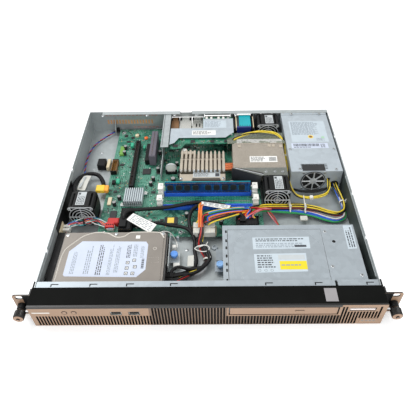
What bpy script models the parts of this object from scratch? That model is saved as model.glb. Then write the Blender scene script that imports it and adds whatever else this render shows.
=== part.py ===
"""A one-unit 19-inch rack firewall appliance with its top cover off.

It holds the chassis, the front bezel and rack ears, a hard drive, an optical drive, the motherboard
with its memory and coolers, three fans, the power supply and the wiring.

All lengths are in millimetres until a mesh is made, and MM turns them into metres there. Chassis
axes: X to the right, Y from the bezel's face to the rear wall, Z up from the chassis floor. One
empty carries these axes to the middle of the object's footprint.
"""

import math

import bmesh
import bpy
from mathutils import Matrix, Vector

MM = 0.001
GAP = 0.3  # clearance between neighbouring pieces

# Envelope
EAR_SPAN = 482.6
BODY_WIDTH = 432.0
BEZEL_WIDTH = 436.0
HEIGHT = 43.0
DEPTH = 412.5
KNOB_TIP = -6.0
ORIGIN_Y = (DEPTH + KNOB_TIP) / 2

# Sheet metal
SHEET = 1.0
BODY_X = BODY_WIDTH / 2
WALL_X = BODY_X - SHEET
WALL_TOP = 42.4
REAR_Y = DEPTH - SHEET
TRAY_FRONT = 16.0
REAR_FLANGE_Y = 403.5
CROSS_Y = (20.0, 38.0)
CROSS_Z = (40.2, 41.4)

# Bezel
BEZEL_X = BEZEL_WIDTH / 2
BEZEL_THICK = 2.4
SHROUD_THICK = 1.6
TOP_PANEL_END = 28.4
SLOT_PITCH = 3.8
SLOT_WIDTH = 2.4
GRILLE_X = (-212.0, 214.4)
GRILLE_Z = (1.2, 39.0)
BUTTON_X = (-174.5, -163.0)
BUTTON_Z = 30.0
BUTTON_R = 3.2
USB_X = (-111.6, -89.3)
USB_HALF = (6.6, 3.5)
USB_Z = 27.6
IO_BOARD_TOP = 24.2

# Rack ears, on the EIA-310 hole pattern
EAR_HOLE_X = 232.55
EAR_SLOT_Z = (5.9, 37.7)
EAR_Y = (17.0, 18.6)
SCREW_Z = 22.2
SLEEVE_R = 4.6
KNOB_R = 6.8

# Hard drive, 3.5-inch
HDD_SIZE = (147.0, 101.6, 26.1)
HDD_CORNER = (-203.2, 31.4, 4.2)
HDD_PIN = (-46.8, 102.0)

# Optical drive, slim type
ODD_X = (28.2, 157.2)
ODD_Z = (24.4, 37.0)
ODD_END = 126.5
DISC = (92.5, 64.0)
DISC_R = 60.2
CAGE_PIN = (17.5, 84.0)
CAGE_X = (26.4, 204.5)
CAGE_END = 135.0
CAGE_TOP = (35.8, 37.0)
EJECT_X = (107.8, 118.2)
EJECT_Z = (29.4, 31.8)

# Motherboard
BOARD_X = (-163.5, 84.0)
BOARD_Y = (140.0, 404.0)
BOARD_Z = (7.0, 8.6)
STANDOFF_X = (-155.0, -40.0, 76.0)
STANDOFF_Y = (148.0, 394.0)
ON_BOARD = BOARD_Z[1] + GAP
SOCKET_Y = (226.8, 196.8)
SOCKET_HALF = (68.9, 3.35)
LATCH_PIVOT = (73.0, 12.5)

# Cooling
FAN_SIDE = 39.8
FAN_DEPTH = 34.0
FAN_BORE_R = 18.9
FAN_Z = 21.2
FANS = {"system_fan": (106.5, 202.0), "exhaust_fan": (106.5, 370.0), "drive_fan": (-187.0, 170.0)}
BLADES = 7
PIPE_R = 2.9
PIPE_Y = (278.0, 283.6, 289.2)
PIPE_Z = 18.5
FIN_BLOCK_X = (41.0, 126.0)
FIN_BLOCK_Y = (257.0, 320.0)

# Power supply
PSU_X = (131.6, 212.4)
PSU_Y = (244.5, 411.0)
PSU_Z = (1.5, 40.9)
PSU_WALL = 1.0
PSU_FAN = (168.0, 21.2)
PSU_FAN_R = 18.2
HARNESS_EXIT = (203.0, 14.0)
FAN_CABLE_EXIT = (192.0, 24.0)

COLOURS = {
    "galvanised": ((0.60, 0.66, 0.68), 0.35, 0.9),
    "bezel_paint": ((0.32, 0.25, 0.20), 0.4, 0.3),
    "black_paint": ((0.02, 0.022, 0.024), 0.45, 0.0),
    "tan_plastic": ((0.42, 0.33, 0.26), 0.45, 0.0),
    "black_plastic": ((0.02, 0.02, 0.022), 0.5, 0.0),
    "blue_plastic": ((0.15, 0.35, 0.80), 0.35, 0.0),
    "cast_cover": ((0.52, 0.49, 0.46), 0.4, 0.8),
    "board_green": ((0.03, 0.22, 0.14), 0.45, 0.0),
    "module_blue": ((0.02, 0.10, 0.35), 0.4, 0.0),
    "socket_blue": ((0.03, 0.09, 0.45), 0.4, 0.0),
    "white_plastic": ((0.82, 0.82, 0.76), 0.45, 0.0),
    "grey_plastic": ((0.25, 0.25, 0.28), 0.5, 0.0),
    "cooler": ((0.62, 0.58, 0.52), 0.4, 0.8),
    "copper": ((0.85, 0.42, 0.22), 0.3, 1.0),
    "cable": ((0.03, 0.03, 0.03), 0.6, 0.0),
}


def box(x, y, z):
    """A box from its low and high limits on each axis."""
    size = Vector((x[1] - x[0], y[1] - y[0], z[1] - z[0])) * MM
    centre = Vector((x[0] + x[1], y[0] + y[1], z[0] + z[1])) * (MM / 2)
    return "box", Matrix.Translation(centre) @ Matrix.Diagonal(size).to_4x4()


def rod(axis, centre, radius, span, sides=24):
    """A cylinder along an axis, with its centre on the two other axes."""
    middle = (span[0] + span[1]) / 2
    place = {
        "X": ((middle, centre[0], centre[1]), Matrix.Rotation(math.pi / 2, 4, "Y")),
        "Y": ((centre[0], middle, centre[1]), Matrix.Rotation(math.pi / 2, 4, "X")),
        "Z": ((centre[0], centre[1], middle), Matrix.Identity(4)),
    }[axis]
    return "rod", Matrix.Translation(Vector(place[0]) * MM) @ place[1], radius, span[1] - span[0], sides


def mesh_of(name, shapes, origin=(0, 0, 0)):
    """One mesh of boxes and rods, about the given origin."""
    bm = bmesh.new()
    for kind, matrix, *rest in shapes:
        if kind == "box":
            bmesh.ops.create_cube(bm, size=1, matrix=matrix)
            continue
        radius, length, sides = rest
        bmesh.ops.create_cone(
            bm, cap_ends=True, segments=sides, radius1=radius * MM, radius2=radius * MM,
            depth=length * MM, matrix=matrix)
    bmesh.ops.translate(bm, verts=bm.verts, vec=Vector(origin) * -MM)
    mesh = bpy.data.meshes.new(name)
    bm.to_mesh(mesh)
    bm.free()
    return mesh


def collection(name):
    made = bpy.data.collections.new(name)
    bpy.context.scene.collection.children.link(made)
    return made


def material(name):
    """A plain material from the colour table."""
    if name in bpy.data.materials:
        return bpy.data.materials[name]
    colour, roughness, metallic = COLOURS[name]
    made = bpy.data.materials.new(name)
    made.use_nodes = True
    shader = made.node_tree.nodes["Principled BSDF"]
    shader.inputs["Base Color"].default_value = (*colour, 1)
    shader.inputs["Roughness"].default_value = roughness
    shader.inputs["Metallic"].default_value = metallic
    return made


def place(name, data, finish, origin=(0, 0, 0), rotation=(0, 0, 0)):
    """A finished sub-part: it takes its material and hangs on the chassis empty."""
    obj = bpy.data.objects.new(name, data)
    obj.location = Vector(origin) * MM
    obj.rotation_euler = rotation
    obj.parent = chassis_axes
    data.materials.append(material(finish))
    parts.objects.link(obj)
    return obj


def helper(name, shapes):
    """A hidden mesh that a Boolean reads. A ready mesh passes through."""
    mesh = shapes if isinstance(shapes, bpy.types.Mesh) else mesh_of(name, shapes)
    obj = bpy.data.objects.new(name, mesh)
    obj.parent = chassis_axes
    obj.hide_render = True
    obj.display_type = "WIRE"
    cutters.objects.link(obj)
    return obj


def join(obj, shapes):
    """Unites an object with shapes that don't touch one another."""
    modifier = obj.modifiers.new("join", "BOOLEAN")
    modifier.operation = "UNION"
    modifier.object = helper(f"{obj.name}_join_{len(obj.modifiers)}", shapes)


def cut(obj, shapes):
    """Cuts shapes out of an object."""
    modifier = obj.modifiers.new("cut", "BOOLEAN")
    modifier.operation = "DIFFERENCE"
    modifier.object = helper(f"{obj.name}_cut_{len(obj.modifiers)}", shapes)


def solid(name, finish, base, joins=(), cuts=(), origin=(0, 0, 0)):
    """A sub-part from a base, groups of shapes to join and groups of shapes to cut."""
    mesh = base if isinstance(base, bpy.types.Mesh) else mesh_of(name, base, origin)
    obj = place(name, mesh, finish, origin)
    for shapes in joins:
        join(obj, shapes)
    for shapes in cuts:
        cut(obj, shapes)
    return obj


def smooth(obj, angle=40):
    """Shades a round piece smooth, with its sharp edges kept."""
    obj.data.shade_smooth()
    obj.data.set_sharp_from_angle(angle=math.radians(angle))
    return obj


def mesh_from_curve(curve, matrix):
    """The closed mesh of a curve, moved by a matrix, with the curve removed."""
    obj = bpy.data.objects.new(curve.name, curve)
    cutters.objects.link(obj)
    graph = bpy.context.evaluated_depsgraph_get()
    mesh = bpy.data.meshes.new_from_object(obj.evaluated_get(graph))
    bpy.data.objects.remove(obj)
    bpy.data.curves.remove(curve)
    bm = bmesh.new()
    bm.from_mesh(mesh)
    bmesh.ops.remove_doubles(bm, verts=bm.verts, dist=1e-6)
    bmesh.ops.transform(bm, matrix=matrix, verts=bm.verts)
    bmesh.ops.recalc_face_normals(bm, faces=bm.faces)
    bm.to_mesh(mesh)
    bm.free()
    return mesh


def plate(name, plane, outlines, span):
    """A flat plate with holes: outlines in its plane, and its limits along the third axis."""
    curve = bpy.data.curves.new(name, "CURVE")
    curve.dimensions = "2D"
    curve.fill_mode = "BOTH"
    curve.extrude = (span[1] - span[0]) / 2 * MM
    for outline in outlines:
        spline = curve.splines.new("POLY")
        spline.points.add(len(outline) - 1)
        spline.use_cyclic_u = True
        for point, (u, v) in zip(spline.points, outline):
            point.co = (u * MM, v * MM, 0, 1)
    middle = (span[0] + span[1]) / 2 * MM
    if plane == "XZ":
        matrix = Matrix.Translation((0, middle, 0)) @ Matrix.Rotation(math.pi / 2, 4, "X")
    else:
        matrix = Matrix.Translation((0, 0, middle))
    return mesh_from_curve(curve, matrix)


def rectangle(u, v):
    return [(u[0], v[0]), (u[1], v[0]), (u[1], v[1]), (u[0], v[1])]


def arc(centre, radius, start, end, steps):
    """Points along an arc, angles in degrees."""
    angles = [math.radians(start + (end - start) * i / steps) for i in range(steps + 1)]
    return [(centre[0] + radius * math.cos(a), centre[1] + radius * math.sin(a)) for a in angles]


def circle(centre, radius, sides=24):
    return arc(centre, radius, 0, 360 * (sides - 1) / sides, sides - 1)


def ring_slots(centre, radii, count, bar, steps):
    """Curved slots between two radii, with bars of an even width between them."""
    slots = []
    for i in range(count):
        ends = []
        for radius in radii:
            margin = math.degrees(math.asin(bar / 2 / radius))
            ends.append((i * 360 / count + margin, (i + 1) * 360 / count - margin))
        inner = arc(centre, radii[0], *ends[0], steps)
        outer = arc(centre, radii[1], *ends[1], steps)
        slots.append(inner + outer[::-1])
    return slots


def turned(name, finish, profile, origin, axis, sides=24):
    """A turned piece: (radius, height) points down its outer side, about an axis through the origin."""
    bm = bmesh.new()
    verts = [bm.verts.new((radius * MM, 0, height * MM)) for radius, height in profile]
    for pair in zip(verts, verts[1:]):
        bm.edges.new(pair)
    mesh = bpy.data.meshes.new(name)
    bm.to_mesh(mesh)
    bm.free()
    rotation = (-math.pi / 2, 0, 0) if axis == "Y" else (0, 0, 0)
    obj = place(name, mesh, finish, origin, rotation)
    screw = obj.modifiers.new("turn", "SCREW")
    screw.steps = sides
    screw.render_steps = sides
    screw.use_merge_vertices = True
    screw.merge_threshold = 1e-6
    screw.use_smooth_shade = True
    return obj


def smooth_route(points, step):
    """Points about a step apart on a smooth curve through the route's own points."""
    knots = [Vector(p) for p in points]
    ends = [2 * knots[0] - knots[1]] + knots + [2 * knots[-1] - knots[-2]]
    route = []
    for before, start, end, after in zip(ends, ends[1:], ends[2:], ends[3:]):
        pieces = max(1, round((end - start).length / step))
        for i in range(pieces):
            t = i / pieces
            route.append(0.5 * (
                2 * start + (end - before) * t + (2 * before - 5 * start + 4 * end - after) * t ** 2
                + (3 * start - before - 3 * end + after) * t ** 3))
    return route + [knots[-1]]


def tube_mesh(name, points, radius, step):
    """A round cable along a route."""
    curve = bpy.data.curves.new(name, "CURVE")
    curve.dimensions = "3D"
    curve.bevel_depth = radius * MM
    curve.bevel_resolution = 2
    curve.use_fill_caps = True
    route = smooth_route(points, step)
    spline = curve.splines.new("POLY")
    spline.points.add(len(route) - 1)
    for point, at in zip(spline.points, route):
        point.co = (*(at * MM), 1)
    return mesh_from_curve(curve, Matrix.Identity(4))


def grid(start, pitch, count):
    return [start + pitch * i for i in range(count)]


# Chassis


def chassis_tray():
    """Floor, side walls and rear wall, with the rear flange, board standoffs and rear openings."""
    tray = solid(
        "chassis_tray", "galvanised",
        [box((-BODY_X, BODY_X), (TRAY_FRONT, DEPTH), (0, WALL_TOP))],
        cuts=[[box((-WALL_X, WALL_X), (TRAY_FRONT - 5, REAR_Y), (SHEET, HEIGHT + 5))]])
    flange_z = (WALL_TOP - SHEET, WALL_TOP)
    join(tray, [
        box((-192, -51), (REAR_FLANGE_Y, REAR_Y + 0.5), flange_z),
        box((-29, WALL_X + 0.5), (REAR_FLANGE_Y, REAR_Y + 0.5), flange_z)])
    join(tray, [
        rod("Z", (x, y), 3, (SHEET - 0.4, BOARD_Z[0] - GAP), 10) for x in STANDOFF_X for y in STANDOFF_Y])
    through = (REAR_Y - 3, DEPTH + 3)
    vents = [box((x, x + 5), through, (33.5, 36.5)) for x in grid(-189, 7, 14)]
    vents += [box((x, x + 3.4), through, (16.5, 25.5)) for x in grid(-187, 5.4, 16)]
    vents += [box((x, x + 5), through, (7.5, 10.5)) for x in grid(-140, 7, 7)]
    windows = [
        box((-67, -8.5), through, (10, 30.5)), box((-7, 41), through, (17.5, 39)),
        box((46.5, 80.5), through, (9.5, 38)), box((134, 210), through, (4, 38.5)),
        box((-50, -30), through, (39.8, HEIGHT + 3))]
    fan_x = FANS["exhaust_fan"][0]
    for x in grid(-15, 5, 7):
        half = math.sqrt(FAN_BORE_R ** 2 - (abs(x) + 1.6) ** 2)
        windows.append(box((fan_x + x - 1.6, fan_x + x + 1.6), through, (FAN_Z - half, FAN_Z + half)))
    cut(tray, vents + windows)
    side = (WALL_X - 3, BODY_X + 3)
    notches = [box((-side[1], -side[0]), (y, y + 6), (39, HEIGHT + 3)) for y in (86, 251)]
    notches += [box(side, (y, y + 6), (39, HEIGHT + 3)) for y in (104, 190, 330)]
    notches.append(box(side, (53, 61), (26.8, 30.8)))
    notches.append(box((-side[1], side[1]), (TRAY_FRONT - 3, TOP_PANEL_END + GAP), (41.5, HEIGHT + 3)))
    cut(tray, notches)


def front_crossmember():
    """The strip across the chassis behind the bezel, with hook slits and a notch at the optical drive."""
    inner = WALL_X - GAP - 0.1
    bar = solid(
        "front_crossmember", "galvanised", [box((-inner, inner), CROSS_Y, CROSS_Z)],
        joins=[
            [box((-inner, inner), (CROSS_Y[1] - SHEET, CROSS_Y[1]), (38.4, CROSS_Z[1]))],
            [box((-inner, SHEET - inner), (21, 37), (24, 41)),
             box((inner - SHEET, inner), (21, 37), (24, 41))]])
    slits = []
    for x in (-196, -147, -101, -46, 73, 135, 199):
        slits.append(box((x, x + 0.9), (30.4, 34), (39, 43)))
        slits.append(box((x + 1.4, x + 9), (33.4, 34.3), (39, 43)))
    cut(bar, slits + [box((160, 163.4), (TOP_PANEL_END + GAP, 45), (37, 43))])


def grille():
    """Upright slots along the face plate, shortened where it stays plain: at the left and by each window."""
    plain = [
        ((-220, -71), (22, 43)), ((24.4, 162.6), (20.4, 43)), ((171, 207), (28.5, 43)),
        ((187.5, 214), (0, 13.4))]
    count = int((GRILLE_X[1] - GRILLE_X[0]) / SLOT_PITCH)
    slots = []
    for u in grid(GRILLE_X[0], SLOT_PITCH, count):
        low, high = GRILLE_Z
        for x, z in plain:
            if u < x[1] and u + SLOT_WIDTH > x[0]:
                low, high = (max(low, z[1]), high) if z[0] < low else (low, min(high, z[0]))
        slots.append(rectangle((u, u + SLOT_WIDTH), (low, high)))
    return slots


def front_bezel():
    """The face plate with its grille, drive slot, light bar, USB windows and button holes."""
    windows = [rectangle((26.4, 160.6), (22.4, 38.4)), rectangle((173, 205), (30.5, 37))]
    windows += [rectangle((x - 7, x + 7), (23.8, 31.4)) for x in USB_X]
    windows += [circle((x, BUTTON_Z), BUTTON_R + 0.4, 16) for x in BUTTON_X]
    outline = rectangle((-BEZEL_X, BEZEL_X), (0, HEIGHT))
    face = plate("front_bezel", "XZ", [outline] + windows + grille(), (0, BEZEL_THICK))
    solid("front_bezel", "bezel_paint", face)


def bezel_shroud():
    """The black channel behind the face plate: top panel, side returns and bottom lip."""
    start = BEZEL_THICK + GAP
    inner = BEZEL_X - SHROUD_THICK
    solid(
        "bezel_shroud", "black_paint", [box((-BEZEL_X, BEZEL_X), (start, 38), (0, HEIGHT))],
        cuts=[
            [box((-inner, inner), (start - 5, 45), (SHEET, 41.8))],
            [box((-inner, inner), (TOP_PANEL_END, 45), (40, HEIGHT + 5)),
             box((-inner, inner), (TRAY_FRONT - GAP, 45), (-5, 5))]])


def rack_ear(side, word):
    """An angle plate with two rack slots, a side flange and the sleeve of its captive screw."""
    inner = BEZEL_X + GAP
    outer = EAR_SPAN / 2
    z = (0.6, 42.6)
    outline = [(side * inner, z[0]), (side * inner, z[1])]
    corner = arc((outer - 4, z[1] - 4), 4, 90, 0, 4) + arc((outer - 4, z[0] + 4), 4, 0, -90, 4)
    outline += [(side * u, v) for u, v in corner]
    openings = []
    for centre in EAR_SLOT_Z:
        ends = arc((EAR_HOLE_X + 2, centre), 3.2, -90, 90, 6) + arc((EAR_HOLE_X - 2, centre), 3.2, 90, 270, 6)
        openings.append([(side * u, v) for u, v in ends])
    flat = plate(f"rack_ear_{word}", "XZ", [outline] + openings, EAR_Y)
    flange = sorted((side * inner, side * (inner + SHROUD_THICK)))
    hole = (side * EAR_HOLE_X, SCREW_Z)
    solid(
        f"rack_ear_{word}", "bezel_paint", flat,
        joins=[[box(flange, (EAR_Y[0], 27), z)], [rod("Y", hole, SLEEVE_R, (8.4, EAR_Y[0] + 0.8))]],
        cuts=[[rod("Y", hole, 3, (0, 30))]])


def thumbscrew(side, word):
    """A captive thumbscrew: knob in front, shank through the sleeve and the ear."""
    tip = KNOB_TIP
    profile = [
        (0, 26), (1.9, 26), (2.4, 25.5), (2.4, 8.1), (4.4, 8.1), (KNOB_R, 6.6), (KNOB_R, tip + 0.8),
        (KNOB_R - 0.8, tip), (2.2, tip), (1.6, tip + 1.6), (0, tip + 1.6)]
    turned(f"thumbscrew_{word}", "black_plastic", profile, (side * EAR_HOLE_X, 0, SCREW_Z), "Y")


# Front controls


def push_button(name, x):
    """A round cap with a retaining flange behind the face plate."""
    profile = [
        (0, 7), (1.5, 7), (1.5, 4.1), (4.6, 4.1), (4.6, 3.1), (BUTTON_R, 3.1), (BUTTON_R, 0.1),
        (BUTTON_R - 0.5, -0.4), (0, -0.4)]
    turned(name, "tan_plastic", profile, (x, 0, BUTTON_Z), "Y", 16)


def front_io_board():
    """The small board behind the bezel, with its two USB sockets."""
    half_x, half_z = USB_HALF
    low = IO_BOARD_TOP - 0.2
    shells = [box((x - half_x, x + half_x), (0.5, 14.5), (low, USB_Z + half_z)) for x in USB_X]
    sockets = [box((x - 6.1, x + 6.1), (-1, 13), (low + 0.9, USB_Z + half_z - 0.5)) for x in USB_X]
    solid(
        "front_io_board", "board_green", [box((-186, -78), (8, 27.5), (IO_BOARD_TOP - 1.6, IO_BOARD_TOP))],
        joins=[shells], cuts=[sockets])


# Hard drive


def hard_drive():
    """Cast base with the connector notch, and the top cover with its raised centre."""
    low = Vector(HDD_CORNER)
    high = low + Vector(HDD_SIZE)
    cover_z = high.z - 3.4
    solid(
        "hdd_base", "cast_cover", [box((low.x, high.x), (low.y, high.y), (low.z, cover_z - GAP))],
        cuts=[[box((high.x - 4, high.x + 5), (44, 72.5), (0, 14))]])
    rim = plate("hdd_cover", "XY", [rectangle((low.x + 1.8, high.x - 1.8), (low.y + 1.8, high.y - 1.8))],
                (cover_z, cover_z + 1.6))
    raised = [
        (-196, 39), (-64, 39), (-61, 46), (-61, 116), (-66, 121), (-82, 123), (-92, 127.5), (-150, 127.5),
        (-158, 121), (-172, 121), (-180, 127), (-192, 127), (-198.5, 120), (-198.5, 46)]
    solid("hdd_cover", "cast_cover", rim, joins=[plate("plateau", "XY", [raised], (cover_z + 1, high.z))])


def hdd_caddy():
    """The sled under the hard drive, with its side flanges, posts and release tab."""
    posts = [rod("Z", (x, y), 3, (2.4, HDD_CORNER[2] - GAP), 12) for x in (-195, -64) for y in (52, 124)]
    solid(
        "hdd_caddy", "galvanised", [box((-208.4, -52.8), (46, 136), (1.5, 2.7))],
        joins=[
            [box((-208.4, -207.2), (46.5, 135.5), (1.6, 24)), box((-54, -52.8), (76, 135.5), (1.6, 22))],
            posts,
            [box((-53.4, -39), (92, 112), (7.6, 8.8))]],
        cuts=[[rod("Z", HDD_PIN, 3, (5, 11), 16)]])


def release_pin(name, x, y):
    """A sprung pin: a round head above its tab and a collar below it."""
    profile = [
        (0, 17), (4.4, 17), (5.4, 16), (5.4, 12.6), (4.8, 12), (2.5, 12), (2.5, 4.8), (3.8, 4.8),
        (3.8, 3.2), (0, 3.2)]
    turned(name, "blue_plastic", profile, (x, y, 0), "Z")


# Optical drive


def optical_drive():
    """The slim drive's case, its tray with the disc recess, the spindle and the eject button."""
    solid(
        "optical_drive_case", "galvanised", [box(ODD_X, (4.2, ODD_END), ODD_Z)],
        cuts=[[box((ODD_X[0] + 0.8, ODD_X[1] - 0.8), (0, ODD_END - 2), (ODD_Z[0] + 0.8, ODD_Z[1] - 0.8))]])
    solid(
        "optical_tray", "tan_plastic", [box((28, 158.8), (0.2, 2.9), (23.6, 37.4))],
        joins=[[box((30, 155.2), (2.4, 123.5), (26.2, 34.4))]],
        cuts=[
            [rod("Z", DISC, DISC_R, (31, 40), 48)],
            [rod("Z", DISC, 17, (27.4, 32), 24)],
            [box((EJECT_X[0] - 0.4, EJECT_X[1] + 0.4), (-2, 2.1), (EJECT_Z[0] - 0.4, EJECT_Z[1] + 0.4))]])
    hub = [(0, 34), (6.2, 34), (7.4, 33), (7.4, 31.6), (15, 31.6), (15, 30), (9, 30), (9, 27.9), (0, 27.9)]
    turned("optical_spindle", "black_plastic", hub, (*DISC, 0), "Z")
    solid(
        "optical_eject_button", "tan_plastic", [box(EJECT_X, (-0.3, 1.2), EJECT_Z)],
        origin=(sum(EJECT_X) / 2, 0, sum(EJECT_Z) / 2))


def optical_cage():
    """The bracket round the optical drive: side walls, rear strip and the cover plate on its right."""
    left, right = CAGE_X
    solid(
        "optical_cage", "galvanised", [box((left, left + SHEET), (30, CAGE_END), (1.5, CAGE_TOP[1]))],
        joins=[
            [box((20.9, left + SHEET), (30.5, CAGE_END), CAGE_TOP)],
            [box((left + 0.5, right), (127.2, CAGE_END), CAGE_TOP),
             box((left + 0.5, 31), (40, 120), (22.6, 23.8))],
            [box((157.8, right), (40, CAGE_END), CAGE_TOP)],
            [box((right - SHEET, right), (40.5, CAGE_END - 0.5), (1.5, CAGE_TOP[1]))],
            [box((10, left + 0.5), (76, 92), (7.6, 8.8)), box((12, left + 0.5), (100, 120), (1.5, 2.7))]],
        cuts=[[rod("Z", CAGE_PIN, 3, (5, 11), 16)]])


# Motherboard


def motherboard():
    """The board with its processor, headers and plug blocks."""
    board = solid("motherboard", "board_green", [box(BOARD_X, BOARD_Y, BOARD_Z)])
    low = BOARD_Z[1] - 0.3
    join(board, [
        box((-27, 11), (262, 300), (low, 13.6)), box((-162.5, -152.5), (272, 308), (low, 17)),
        box((-146, -134.5), (152, 170), (low, 20)), box((-132, -118), (156, 170), (low, 20)),
        box((44, 76), (158, 172), (low, 18)), box((46, 66), (178, 190), (low, 17.5)),
        box((-65, -46), (165, 183), (low, 10.4)), box((-110.5, -97), (277, 290.5), (low, 10.4))])
    cut(board, [rod("Z", (x, y), 1.9, (5, 12), 10) for x in STANDOFF_X for y in STANDOFF_Y])


def memory():
    """Two sockets, the module in the rear one, and a latch at each end of each socket."""
    half_x, half_y = SOCKET_HALF
    for number, y in enumerate(SOCKET_Y, 1):
        solid(
            f"memory_socket_{number}", "socket_blue",
            [box((-half_x, half_x), (y - half_y, y + half_y), (ON_BOARD, 15.4))],
            cuts=[[box((-67.4, 67.4), (y - 1.1, y + 1.1), (11.8, 17))]])
        for side, word in ((-1, "left"), (1, "right")):
            memory_latch(f"memory_latch_{number}_{word}", side, y)
    y = SOCKET_Y[0]
    chips = [box((x, x + 8.4), (y - 1.7, y - 0.5), (20, 31)) for x in grid(-62, 12.6, 4) + grid(0, 12.6, 5)]
    solid(
        "memory_module", "module_blue", [box((-66.7, 66.7), (y - 0.7, y + 0.7), (12.2, 37.6))], joins=[chips])


def memory_latch(name, side, y):
    """An end latch, hinged low at the socket's end, with a nib over the module."""
    x, z = LATCH_PIVOT

    def mirrored(span):
        return sorted((side * span[0], side * span[1]))

    solid(
        name, "white_plastic", [box(mirrored((70.4, 75.4)), (y - 2.4, y + 2.4), (10, 31))],
        joins=[[box(mirrored((67.8, 71)), (y - 1.6, y + 1.6), (26, 28.5))]], origin=(side * x, y, z))


def board_parts():
    """Slots, chipset cooler, battery and rear sockets, each soldered or clipped to the board."""
    solid(
        "pcie_slot", "black_plastic", [box((-127.3, -119.7), (238, 356), (ON_BOARD, 20))],
        cuts=[[box((-124.5, -122.5), (241, 353), (12, 22))]])
    solid(
        "expansion_slot", "grey_plastic", [box((-99.5, -88.5), (300, 370), (ON_BOARD, 30))],
        joins=[[box((-107.5, -99), (302, 348), (ON_BOARD, 19))]])
    fins = [box((x, x + 1.5), (201, 234), (11.8, 19.5)) for x in grid(-130.6, 3.3, 9)]
    solid(
        "chipset_heatsink", "galvanised", [box((-131, -102.3), (201, 234), (9.6, 12))],
        joins=[
            fins,
            [box((-137, -130.5), (201.5, 208), (9.7, 11.4)), box((-103, -96.5), (227, 233.5), (9.7, 11.4))]])
    solid(
        "backup_battery", "black_plastic", [box((-70, -52), (277, 285), (ON_BOARD, 17))],
        joins=[[rod("Y", (-61, 19), 9.6, (279.4, 282.6), 28)]])
    rear = REAR_Y - GAP - 0.2
    jacks = [box(x, (372, rear), (10.2, 30)) for x in ((-66.5, -52.5), (-51.5, -30), (-28.5, -9.5))]
    sockets = [
        box((-64, -55), (396, 415), (13, 27)), box((-47, -34.5), (396, 415), (19.5, 28)),
        box((-47.3, -34.2), (396, 415), (12, 17.6)), box((-25.4, -12.6), (396, 415), (13, 27))]
    solid(
        "rear_port_stack", "galvanised", [box((-66.5, -9.5), (374, rear), (ON_BOARD, 10.6))],
        joins=[jacks], cuts=[sockets])
    solid(
        "serial_video_stack", "black_plastic", [box((45.5, 81.5), (366, rear), (ON_BOARD, 36.5))],
        cuts=[
            [box((50, 77), (360, 404), (ON_BOARD + 1.5, 45))],
            [box((53, 74), (406, 415), (25, 34)), box((53, 74), (406, 415), (11.5, 20.5))]])
    join(bpy.data.objects["serial_video_stack"], [
        box((50.8, 76.2), (367.5, 405), (22.5, 37.8)), box((51.2, 75.8), (370.5, 405), (ON_BOARD + 1, 20.5))])


def network_card():
    """The low card by the rear wall: board, cover plate on posts, and its two network sockets."""
    outline = [
        (-64, 314), (-46, 314), (-38, 327), (34, 327), (44.8, 346), (44.8, 404), (-9, 404), (-9, 364),
        (-64, 364)]
    cover = [
        (-65.5, 320), (-57, 325), (-50, 338.5), (30, 338.5), (44.8, 353), (44.8, 394), (-8.5, 394),
        (-8.5, 365.5), (-65.5, 365.5)]
    rear = REAR_Y - GAP - 0.2
    solid(
        "network_card", "board_green", plate("network_card", "XY", [outline], (32.4, 34)),
        joins=[
            plate("card_cover", "XY", [cover], (37, 38)),
            [rod("Z", at, 2.5, (33.5, 37.5), 12) for at in ((-52, 346), (25, 345), (38, 385), (0, 385))],
            [box((-6, 40), (386, rear), (18.4, 32.8))]],
        cuts=[[box((x, x + 12.4), (396, 415), (20.6, 29)) for x in (0, 21)]])


def riser_bracket():
    """The upright bracket left of the card, with its top flange and lower rail."""
    solid(
        "riser_bracket", "galvanised", [box((-77.6, -76.4), (262, REAR_Y - GAP), (9.2, 24))],
        joins=[
            [box((-77.6, -76.4), (312, REAR_Y - GAP), (20, 40.9))],
            [box((-79.5, -66.5), (310, REAR_Y - GAP), (39.7, 40.9))]])


# Cooling


def fan(name, x, front):
    """An axial fan: square housing with a strutted motor mount, rotor and stamped finger guard."""
    half = FAN_SIDE / 2
    back = front + FAN_DEPTH
    struts = (back - 2.4, back - 0.8)
    solid(
        f"{name}_housing", "black_plastic",
        [box((x - half, x + half), (front, back), (FAN_Z - half, FAN_Z + half))],
        cuts=[[rod("Y", (x, FAN_Z), FAN_BORE_R, (front - 5, back + 5), 32)]])
    housing = bpy.data.objects[f"{name}_housing"]
    join(housing, [box((x - half + 0.6, x + half - 0.6), struts, (FAN_Z - 1, FAN_Z + 1))])
    join(housing, [box((x - 1, x + 1), struts, (FAN_Z - half + 0.6, FAN_Z + half - 0.6))])
    join(housing, [rod("Y", (x, FAN_Z), 9, (back - 5, back - 0.6), 20)])
    rotor(f"{name}_rotor", (x, FAN_Z), (front + 2.5, front + 26), 8.6, 17, 11)
    rings = [rectangle((x - half, x + half), (FAN_Z - half, FAN_Z + half))]
    for radii, steps in (((3.6, 6.6), 3), ((8.2, 11.2), 4), ((12.8, 18.4), 6)):
        rings += ring_slots((x, FAN_Z), radii, 4, 1.6, steps)
    solid(f"{name}_guard", "galvanised", plate(f"{name}_guard", "XZ", rings, (front - 1.3, front - 0.5)))


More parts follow.
